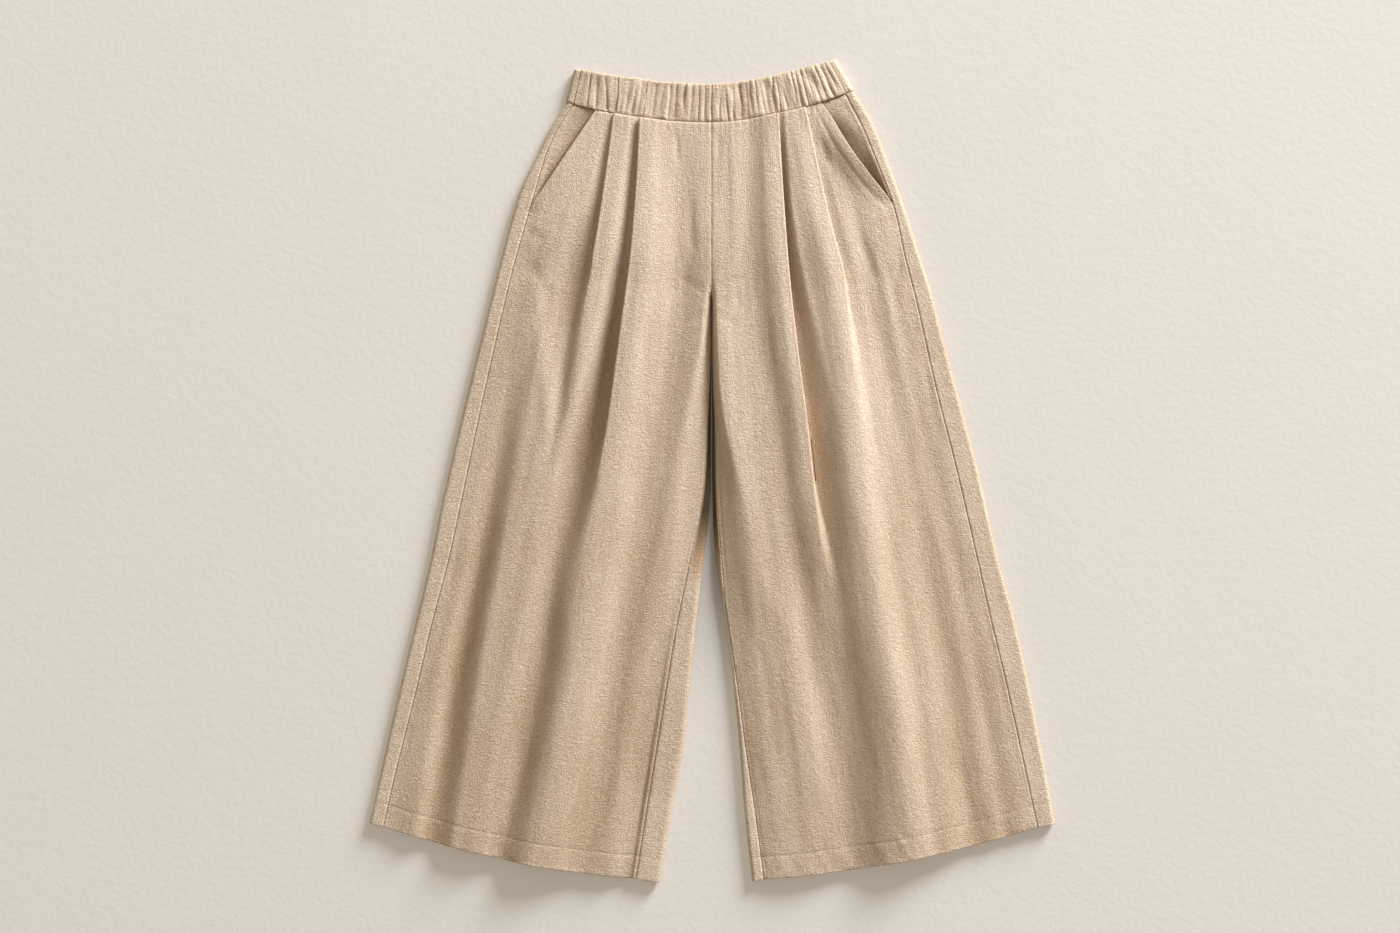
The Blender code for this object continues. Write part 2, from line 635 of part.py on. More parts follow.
def grid_solid(name, upper, lower, material, flip):
    """A closed solid between two grids of points of the same size, in millimetres."""
    rows = len(upper)
    columns = len(upper[0])
    vertices = [point for grid in (upper, lower) for row in grid for point in row]
    layer = rows * columns

    def corner(side, row, column):
        return side * layer + row * columns + column

    faces = []
    for row in range(rows - 1):
        for column in range(columns - 1):
            near = (row, column)
            far = (row + 1, column + 1)
            for half in ((near, (row + 1, column), far), (near, far, (row, column + 1))):
                faces.append([corner(0, *point) for point in half])
                faces.append([corner(1, *point) for point in reversed(half)])
    rim = [(0, column) for column in range(columns)]
    rim += [(row, columns - 1) for row in range(1, rows)]
    rim += [(rows - 1, column) for column in range(columns - 2, -1, -1)]
    rim += [(row, 0) for row in range(rows - 2, 0, -1)]
    for index, point in enumerate(rim):
        following = rim[(index + 1) % len(rim)]
        around = [corner(0, *point), corner(0, *following),
                  corner(1, *following), corner(1, *point)]
        # Split alike on both sides of a seam, so that its gap stays even
        start = 0 if following[0] >= point[0] else 1
        turned = around[start:] + around[:start]
        faces.append(turned[:3])
        faces.append([turned[2], turned[3], turned[0]])
    if flip:
        faces = [face[::-1] for face in faces]
    mesh = bpy.data.meshes.new(name)
    mesh.from_pydata([[value * MM for value in vertex] for vertex in vertices], [], faces)
    mesh.shade_smooth()
    mesh.set_sharp_from_angle(angle=math.radians(40.0))
    mesh.materials.append(material)
    piece = bpy.data.objects.new(name, mesh)
    bpy.context.scene.collection.objects.link(piece)
    return piece


def leg_solid(name, leg, shares, path_of, material):
    """A wall of cloth through a leg's cross lines."""
    upper = []
    lower = []
    for share in shares:
        line = Line(leg, share)
        path = path_of(line)
        inner = CLOTH / 2.0 + (HEM_EXTRA if line.hem else 0.0)
        normals = {}
        if path_of is front_path:
            normals[len(path) - 1] = inseam_normal(line, under=False)
        if path_of is back_path:
            normals[0] = inseam_normal(line, under=True)
        outer_face, inner_face = wall_section(path, CLOTH / 2.0, inner, normals)
        upper.append([(leg.sign * out, line.y(out), height) for out, height in outer_face])
        lower.append([(leg.sign * out, line.y(out), height) for out, height in inner_face])
    return grid_solid(name, upper, lower, material, flip=leg.sign > 0.0)


def band_point(at, height):
    """A point of the waistband in plan, by its waist-seam X and the share up the band."""
    seam_y = along(BAND, "seam_x", at, "seam_y")
    top_x = along(BAND, "seam_x", at, "top_x")
    top_y = along(BAND, "seam_x", at, "top_y")
    return blend(at, top_x, height), blend(seam_y + SEAM_GAP, top_y, height)


def gather_columns(troughs, sign, finish):
    """Columns of a gathered half band: the waist-seam X and the gather's height."""
    stops = [SEAM_GAP / 2.0] + [float(trough) for trough in troughs] + [finish]
    columns = []
    for low, high in zip(stops, stops[1:]):
        for index in range(GATHER_STEPS):
            share = index / GATHER_STEPS
            crest = math.sin(math.pi * share) ** CREST_POWER
            columns.append((sign * blend(low, high, share), GATHER_HEIGHT * crest))
    columns.append((sign * finish, 0.0))
    return columns


def band_front(name, troughs, sign, finish, material):
    """Half of the waistband's front: gathers raised over a plain inside."""
    columns = gather_columns(troughs, sign, finish)
    upper = []
    lower = []
    reach = abs(BAND[0].seam_x)
    for line in range(BAND_LINES):
        share = line / (BAND_LINES - 1)
        edge = 1.0 if 0 < line < BAND_LINES - 1 else CREST_AT_EDGES
        top = []
        bottom = []
        for at, gather in columns:
            x, y = band_point(at, share)
            turning = (abs(at) - reach + BAND_TURN[0]) / (BAND_TURN[0] - BAND_TURN[1])
            droop = (BAND_FRONT_Z - TOP_OF_ROLL) * smooth(turning)
            middle = BAND_FRONT_Z - droop
            top.append((x, y, middle + BAND_WALL / 2.0 + gather * edge))
            bottom.append((x, y, middle - BAND_WALL / 2.0))
        upper.append(top)
        lower.append(bottom)
    return grid_solid(name, upper, lower, material, flip=sign > 0.0)


def band_back(name, material):
    """The waistband's back: flat below, rolled up and over at both ends."""
    radius = (TOP_OF_ROLL - BAND_WALL / 2.0) / 2.0
    middle = BAND_WALL / 2.0 + radius
    section = []
    for sign in (-1.0, 1.0):
        reach = BAND[0].seam_x if sign < 0.0 else BAND[-1].seam_x
        half = [(reach - sign * BAND_SIDE_JOIN, middle + radius)]
        for index in range(2 * ROLL_STEPS + 1):
            angle = math.pi / 2.0 - math.pi * index / (2 * ROLL_STEPS)
            out = abs(reach) - radius + radius * math.cos(angle)
            half.append((sign * out, middle + radius * math.sin(angle)))
        for index in range(1, BACK_COLUMNS):
            out = (abs(reach) - radius) * (1.0 - index / BACK_COLUMNS)
            half.append((sign * out, BAND_WALL / 2.0))
        section += half if sign < 0.0 else [(0.0, BAND_WALL / 2.0)] + half[::-1]
    outer, inner = wall_section(section, BAND_WALL / 2.0, BAND_WALL / 2.0)
    upper = []
    lower = []
    for line in range(BAND_LINES):
        share = line / (BAND_LINES - 1)
        upper.append([(*band_point(at, share), height) for at, height in outer])
        lower.append([(*band_point(at, share), height) for at, height in inner])
    return grid_solid(name, upper, lower, material, flip=False)


def cloth_material(name, colour, roughness):
    """A matte cloth."""
    material = bpy.data.materials.new(name)
    material.use_nodes = True
    shader = material.node_tree.nodes["Principled BSDF"]
    shader.inputs["Base Color"].default_value = (*colour, 1.0)
    shader.inputs["Roughness"].default_value = roughness
    shader.inputs["Metallic"].default_value = 0.0
    return material


def build():
    """Build the trousers."""
    for leftover in list(bpy.data.objects):
        bpy.data.objects.remove(leftover)
    for leg in (RIGHT_LEG, LEFT_LEG):
        front_cloth = cloth_material(f"front_{leg.name}_cloth", (0.55, 0.42, 0.30), 0.9)
        back_cloth = cloth_material(f"back_{leg.name}_cloth", (0.53, 0.40, 0.29), 0.9)
        hip_cloth = cloth_material(f"hip_{leg.name}_cloth", (0.54, 0.41, 0.29), 0.9)
        leg_solid(f"front_{leg.name}", leg, LINES, front_path, front_cloth)
        leg_solid(f"back_{leg.name}", leg, LINES, back_path, back_cloth)
        leg_solid(f"hip_{leg.name}", leg, HIP_LINES, hip_path, hip_cloth)
    right_reach = abs(BAND[0].seam_x) - BAND_SIDE_JOIN - SEAM_GAP
    left_reach = BAND[-1].seam_x - BAND_SIDE_JOIN - SEAM_GAP
    band_front("waistband_front_right", GATHERS_RIGHT, -1.0, right_reach,
               cloth_material("band_right_cloth", (0.56, 0.43, 0.31), 0.9))
    band_front("waistband_front_left", GATHERS_LEFT, 1.0, left_reach,
               cloth_material("band_left_cloth", (0.56, 0.43, 0.31), 0.9))
    band_back("waistband_back", cloth_material("band_back_cloth", (0.53, 0.40, 0.29), 0.9))


build()
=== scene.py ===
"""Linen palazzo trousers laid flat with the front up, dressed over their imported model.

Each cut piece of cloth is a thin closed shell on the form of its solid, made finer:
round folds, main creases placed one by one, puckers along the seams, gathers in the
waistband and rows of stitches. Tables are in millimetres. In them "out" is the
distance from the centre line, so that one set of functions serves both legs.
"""
import logging
import math
from dataclasses import dataclass, field
from enum import Enum

import bpy
import numpy as np
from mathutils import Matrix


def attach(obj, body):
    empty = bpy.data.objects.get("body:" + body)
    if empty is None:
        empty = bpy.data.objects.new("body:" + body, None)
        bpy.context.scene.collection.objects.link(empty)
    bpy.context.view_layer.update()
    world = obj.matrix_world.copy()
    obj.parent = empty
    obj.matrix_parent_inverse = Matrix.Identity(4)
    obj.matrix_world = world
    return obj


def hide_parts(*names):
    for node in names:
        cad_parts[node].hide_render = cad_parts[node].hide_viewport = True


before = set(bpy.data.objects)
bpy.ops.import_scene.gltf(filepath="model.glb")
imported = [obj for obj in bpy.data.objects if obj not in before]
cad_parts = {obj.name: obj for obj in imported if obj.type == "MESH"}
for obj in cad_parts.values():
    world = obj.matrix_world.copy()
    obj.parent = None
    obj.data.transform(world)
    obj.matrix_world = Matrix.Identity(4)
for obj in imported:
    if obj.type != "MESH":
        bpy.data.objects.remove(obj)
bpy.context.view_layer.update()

LOG = logging.getLogger("trousers")
MM = 0.001
Rows = tuple[tuple[float, ...], ...]
Colour = tuple[float, float, float]

# Cloth and seams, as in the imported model
CLOTH = 1.2
SEAM_GAP = 0.3
EDGE_RADIUS = 4.2
QUARTER_ROLL = EDGE_RADIUS * math.pi / 2.0
HEM_DEPTH = 27.0
HEM_EXTRA = 1.0            # the turned-up layer
HEM_STEP = 1.2             # over which it starts
HEM_SAG = 9.5
PLEAT_PITCH = 1.55         # from layer to layer
PLEAT_UPRIGHT = 5.0        # with less overlap a pleat begins to stand up
PLEAT_LEAD = 3.0
POCKET_LIFT = 1.6
POCKET_UNDERLAP = 30.0
BAND_WALL = 2.4
BAND_FRONT_Z = 10.4
BAND_SIDE_JOIN = 9.0
TOP_OF_ROLL = CLOTH / 2.0 + 2.0 * EDGE_RADIUS

# Places down a leg, some as shares from 0 at the waist to 1 at the hem
LEG_LENGTH = 917.8
WAIST_CENTRE_Y = 424.4
CROTCH_Y = 203.5
CROTCH = (WAIST_CENTRE_Y - CROTCH_Y) / LEG_LENGTH
CROTCH_TURN = 0.018        # above the crotch, over which the inner edges begin to roll
CROTCH_HOLD = 0.045        # below it, to where the fronts stay high at their inner edge
CROTCH_FADE = 0.090
POCKET_END = 0.152
POCKET_FADE = 0.022
HEM_LINE = 1.0 - HEM_DEPTH / LEG_LENGTH

# How the front lies
STEP_DECAY = 58.0          # inwards, over which a pleat's step dies away
GAPE_REACH = 34.0
COVER_EASE = 16.0
COVER_FADE = (0.172, 0.232)
FRONT_ROLL_REACH = 6.0
FOLD_FADE = (7.0, 44.0)    # from the inseam and from the side
LOWEST_FOLD = -5.0
LOWEST_FRONT = 3.4
HIGHEST_BACK = 1.3         # of a back's waves, so that they stay under the front

# Fine form: seams, rims and noise, whose layers are (across, along, seed, height)
SEAM_STEPS = np.array([0.0, 0.35, 0.8, 1.5, 2.4])
SEAM_REACH = 3.4           # from a seam to the first evenly spaced column
SEAM_GROOVE = (0.55, 1.2)  # depth and width
SEAM_PUCKERS = ((9.0, 1.0, 0.0, 0.34), (23.0, 1.0, 5.0, 0.4))
SEAM_PUCKER_REACH = 7.0
INSEAM_SHARE = 0.8         # an inseam's puckers next to a side seam's
HEM_GROOVE = (0.36, 1.3)
HEM_LEAN = 0.35            # of the puckers, across for each step up
HEM_RIPPLE = 0.6
HEM_PUCKERS = ((7.0, 1.0, 0.0, 0.55), (19.0, 1.0, 3.0, 0.5))
WAIST_GROOVE = (0.3, 1.1)
WAIST_PUFF = 0.85
WAIST_PUFF_REACH = 11.0
WAVES = ((26.0, 170.0, 0.0, 0.55), (11.0, 75.0, 11.0, 0.30), (5.5, 24.0, 23.0, 0.10),
         (30.0, 16.0, 37.0, 0.07))
FAN_WIDTH = 330.0          # of a leg, in the measure whose lines fan out with it
BACK_FAN_START = 700.0     # keeps a back's pattern apart from its front's
RIM = 0.8                  # radius of a cut edge
HEM_RIM = 1.1
CRISP_GATHER = 1.15        # deeper ones are narrower
SEAM_STITCH = 1.9          # from a seam to its row of stitches
POCKET_STITCH = 21.0

# Painted light and shade in the cloth's colour: at the rolled edges, in the gap between the legs,
# in folds and on the relief
PAINTED_EDGE_SHADING = 0.9
GAP_FOOT = -150.0
GAP_FADE = 115.0
GAP_REACH = 24.0
GAP_SHADE = 2.3
GAP_SINK = 0.7
HOLLOW_SHARE = 0.8         # of a pleat's hollow, in the painted shade
PAINTED_FOLD_SHADING = 0.030
PAINTED_RELIEF_SHADING = 0.05

# Where patterns start, as metres outside the cloth, so that no line of their grid shows
PATTERN_START = 0.713


class Side(Enum):
    """Which half of the garment, by the way its X runs from the centre line."""

    RIGHT = -1.0
    LEFT = 1.0


def ease(share: np.ndarray) -> np.ndarray:
    """A step from 0 to 1 with level ends."""
    share = np.clip(share, 0.0, 1.0)
    return share * share * (3.0 - 2.0 * share)


def blend(low: np.ndarray, high: np.ndarray, share: np.ndarray) -> np.ndarray:
    """The value a share of the way from low to high."""
    return low + (high - low) * share


def follow(table: Rows, at: np.ndarray, column: int) -> np.ndarray:
    """Read a table on a smooth curve through its rows.

    Args:
        table: rows whose first number is the key.
        at: the keys to read at.
        column: which number of the rows to read.

    Returns:
        The values at those keys.
    """
    rows = np.array(sorted(table), dtype=float)
    keys = rows[:, 0]
    values = rows[:, column]
    count = len(keys)
    at = np.clip(at, keys[0], keys[-1])
    index = np.clip(np.searchsorted(keys, at, side="left") - 1, 0, count - 2)
    low = np.maximum(np.arange(count) - 1, 0)
    high = np.minimum(np.arange(count) + 1, count - 1)
    slopes = (values[high] - values[low]) / (keys[high] - keys[low])
    span = keys[index + 1] - keys[index]
    share = (at - keys[index]) / span
    start = slopes[index] * span
    end = slopes[index + 1] * span
    rise = values[index + 1] - values[index]
    return values[index] + share * (start + share * (3.0 * rise - 2.0 * start - end
                                                     + share * (start + end - 2.0 * rise)))


def lattice_noise(x: np.ndarray, y: np.ndarray, seed: float) -> np.ndarray:
    """Smooth even noise from -1 to 1 on a unit lattice.

    Args:
        x: positions across.
        y: positions along.
        seed: a number that sets the pattern.

    Returns:
        The noise at those positions.
    """
    column = np.floor(x)
    row = np.floor(y)
    across = ease(x - column)
    along = ease(y - row)

    def corner(step_x: float, step_y: float) -> np.ndarray:
        """The lattice's own value at one corner."""
        turned = np.sin((column + step_x) * 127.1 + (row + step_y) * 311.7 + seed * 74.7)
        return np.modf(np.abs(turned) * 4375.5453)[0] * 2.0 - 1.0

    near = blend(corner(0.0, 0.0), corner(1.0, 0.0), across)
    far = blend(corner(0.0, 1.0), corner(1.0, 1.0), across)
    return blend(near, far, along)


def noise_sum(layers: Rows, across: np.ndarray, along: np.ndarray, seed: float) -> np.ndarray:
    """Layers of noise added up.

    Args:
        layers: each one's size across and along, its seed's shift and its height.
        across: distances across.
        along: distances along.
        seed: a number that sets the pattern.

    Returns:
        The heights at those points.
    """
    return sum(height * lattice_noise(across / wide, along / long, seed + shift)
               for wide, long, shift, height in layers)


@dataclass(frozen=True)
class Crease:
    """A soft line in the cloth, given as a path of points.

    depth is how far the cloth dips along it, or rises where it is negative, and
    width the distance over which it dies away to the sides. hard from 0 to 1 makes
    its line crisper.
    """

    points: Rows
    depth: float
    width: float
    hard: float = 0.0

    def height(self, out: np.ndarray, y: np.ndarray) -> np.ndarray:
        """The crease's height at points of the cloth.

        Args:
            out: distances from the centre line.
            y: heights on the garment.

        Returns:
            What the crease adds to the cloth's height.
        """
        path = np.array(self.points, dtype=float)
        lengths = np.hypot(*np.diff(path, axis=0).T)
        whole = lengths.sum()
        nearest = np.full(out.shape, 1e9)
        place = np.zeros(out.shape)
        done = 0.0
        for (start_x, start_y), (end_x, end_y), length in zip(path, path[1:], lengths):
            share = (out - start_x) * (end_x - start_x) + (y - start_y) * (end_y - start_y)
            share = np.clip(share / length ** 2, 0.0, 1.0)
            distance = np.hypot(out - blend(start_x, end_x, share),
                                y - blend(start_y, end_y, share))
            closer = distance < nearest
            nearest = np.where(closer, distance, nearest)
            place = np.where(closer, (done + share * length) / whole, place)
            done += length
        side = np.clip(1.0 - nearest / self.width, 0.0, 1.0)
        section = blend(ease(side), side ** 1.5, self.hard)
        ends = ease(place / 0.3) * ease((1.0 - place) / 0.3)
        return -self.depth * section * ends


@dataclass(frozen=True)
class LegTables:
    """One half of the trousers: its outline, seams, pleats, folds and creases.

    side holds (y, seam, edge), inner (y, edge, seam), slant (y, out, gape), each
    pleat (y, out, overlap, height), each tuck (y, depth, width, place) of the hollow
    along the outside of a pleat, whose bottom lies at its fold where place is 0 and a
    width away where it is 1, each fold (y, out, depth, width) and each gather (out,
    depth, lean).
    side_arch is the distance over which the cloth rises from the side seam, and
    inner_arch (y, distance) the one beside the inseam.
    """

    side_of: Side
    waist_side_y: float
    hem_side_y: float
    hem_inner_y: float
    side: Rows
    inner: Rows
    slant: Rows
    pleats: tuple[Rows, Rows]
    tucks: tuple[Rows, Rows]
    folds: tuple[Rows, ...]
    side_arch: float
    inner_arch: Rows
    gathers: tuple[tuple[float, float, float], ...]
    creases: tuple[Crease, ...] = ()
    back_creases: tuple[Crease, ...] = ()
    seed: float = 1.0

    @property
    def sign(self) -> float:
        """The way X runs from the centre line."""
        return self.side_of.value

    @property
    def name(self) -> str:
        """The wearer's side, in small letters."""
        return self.side_of.name.lower()


# How high the fronts stand over the rolled edges: (y, height)
LOFT: Rows = ((450, 1.6), (380, 4), (300, 7), (200, 9.5), (100, 10.5), (0, 10.5), (-200, 9.5),
              (-400, 8.5), (-500, 8))

RIGHT_LEG = LegTables(
    side_of=Side.RIGHT, waist_side_y=448.1, hem_side_y=-430.1, hem_inner_y=-493.4, side_arch=74,
    seed=3,
    side=((448.1, 168.2, 176.3), (418, 187.4, 195.5), (387.5, 201.1, 210), (336, 216.4, 234),
          (252, 240.5, 257.4), (168, 260.5, 278.3), (85, 279.1, 298.9), (-39, 305.1, 327.5),
          (-107, 320, 341), (-186, 340.6, 359.8), (-276, 361.8, 381.3), (-371, 385.5, 402.9),
          (-430, 398.7, 415.9)),
    inner=((203.5, 0.2, 0.2), (115, 0.6, 3.4), (60, 0.7, 6), (10, 0.9, 8.4), (-30, 1.4, 11.8),
           (-75, 5.4, 19.6), (-107, 9.8, 26.2), (-186, 19.3, 42.5), (-265, 27.5, 55.7),
           (-331, 34.5, 66.3), (-397, 47, 77), (-463, 57.5, 87.4), (-500, 63.9, 93.5)),
    slant=((441, 139.9, 0), (405, 164.2, 1.4), (370, 187.7, 2.4), (335, 211.3, 1.2),
           (314.6, 225.5, 0)),
    pleats=(
        ((440, 118, 15, 3.1), (354, 129.4, 13, 3.4), (300, 137.5, 9, 4.2), (262, 144, 4, 4.4),
         (235, 148, -6, 4.2), (205, 152.5, -14, 4), (150, 160, -20, 3.4), (64, 170, -26, 2.2),
         (-34, 190, -30, 1.2), (-186, 221, -32, 0.4), (-460, 271, -32, 0)),
        ((432, 87.3, 18, 3.1), (350, 91.3, 17, 3.8), (270, 97.8, 15.5, 5.2),
         (210, 105.5, 13, 6.4), (149, 114, 9, 7.2), (100, 120.5, 5, 7.8), (64, 126, 1, 8),
         (15, 134, -10, 8), (-34, 139, -24, 8.4), (-131, 156, -44, 8.8), (-229, 169, -40, 8.4),
         (-326, 187, -42, 8), (-399, 203, -43, 7.4), (-470, 218, -44, 6.8)),
    ),
    tucks=(
        ((440, 0.3, 8, 0.4), (400, 1.8, 11, 0.4), (331, 4.6, 17, 0.35), (270, 8, 36, 0.4),
         (210, 8.8, 43, 0.45), (150, 6.4, 36, 0.45), (64, 3.8, 22, 0.45), (0, 1.4, 18, 0.5),
         (-60, 0, 18, 0.5)),
        ((438, 1, 9, 0.4), (400, 3.2, 12, 0.4), (331, 6.2, 17, 0.35), (270, 8, 20, 0.35),
         (210, 11, 24, 0.35), (149, 14.4, 29, 0.35), (64, 14.4, 38, 0.45), (-34, 10.8, 42, 0.65),
         (-131, 7.8, 40, 0.8), (-229, 8, 41, 0.85), (-326, 8, 42, 0.85), (-399, 7.5, 40, 0.85),
         (-470, 6.5, 40, 0.85)),
    ),
    folds=(
        ((170, 222, 0, 26), (97, 242, -3.5, 26), (64, 250, -5, 26), (-34, 269, -8, 27),
         (-131, 286, -10, 28), (-229, 305, -11, 29), (-326, 320, -10.5, 29),
         (-399, 331, -9.5, 29), (-470, 341, -8, 29)),
        ((430, 44, -1.4, 28), (331, 41, -4, 36), (210, 40, -6, 40), (149, 50, -6.6, 46),
         (64, 62, -6, 46), (-34, 74, -5.4, 40), (-131, 90, -6, 40), (-229, 108, -7, 46),
         (-326, 122, -7.5, 50), (-399, 134, -7.5, 52), (-470, 146, -6, 52)),
        ((430, 76, 0.4, 16), (331, 78, 1.2, 20), (210, 88, 1.6, 22), (100, 102, 1.2, 26),
         (0, 116, 0, 28)),
        ((-100, 48, 0, 22), (-180, 60, -1.6, 25), (-229, 68, -2.8, 27), (-326, 82, -3.6, 29),
         (-399, 90, -3.6, 30), (-470, 100, -2.6, 30)),
    ),
    inner_arch=((203, 8), (149, 14), (64, 30), (-34, 44), (-131, 48)),
    gathers=((8, 0.6, 1), (16, 0.8, 0), (26, 0.6, 0), (35, 0.9, 1), (46, 0.8, -1), (54, 0.6, 0),
             (63, 0.8, 2), (73, 0.6, 1), (83.5, 1.3, -3), (90, 0.6, -2), (98, 0.8, 0),
             (106, 0.6, 0), (118, 1.3, -4), (131, 1, -9), (142, 0.8, -2), (152, 0.9, -1)),
    creases=(
        Crease(((118, 446), (143, 404), (166, 369), (190, 334), (206, 312)), 0.5, 4, 0.6),
        Crease(((232, 300), (214, 286), (196, 280)), 0.9, 9, 0.3),
        Crease(((226, 262), (206, 232), (196, 196)), 0.8, 11),
        Crease(((205, 120), (212, 60), (224, 0), (236, -60)), 0.9, 12),
        Crease(((300, -60), (318, -150), (336, -240)), 1, 13),
        Crease(((352, -200), (366, -290), (380, -370)), 0.8, 10),
        Crease(((26, 345), (25, 300), (20, 255)), 1, 9),
        Crease(((42, 415), (42, 392), (38, 368)), 1.1, 6, 0.4),
        Crease(((30, -10), (44, -90), (58, -180)), -0.7, 12),
        Crease(((60, -300), (74, -380), (84, -450)), 0.8, 12),
        Crease(((166, -390), (172, -430), (180, -470)), 0.7, 10),
        Crease(((240, -330), (252, -400), (262, -450)), -0.8, 14),
        Crease(((3, 214), (22, 228), (42, 236)), 0.8, 8),
        Crease(((3, 196), (20, 186), (38, 182)), 0.6, 7),
        Crease(((176, 428), (171, 408), (178, 388)), 0.7, 6, 0.3),
    ),
    back_creases=(
        Crease(((60, 300), (110, 250), (170, 210)), 1.2, 24),
        Crease(((200, 60), (220, -60), (236, -180)), 1.4, 30),
        Crease(((90, -80), (120, -200), (150, -330)), 1.3, 28),
        Crease(((300, -120), (318, -240), (330, -340)), 1, 22),
        Crease(((30, 386), (80, 376), (140, 384)), 0.9, 14),
        Crease(((20, 180), (60, 196), (104, 190)), 0.9, 13),
    ),
)

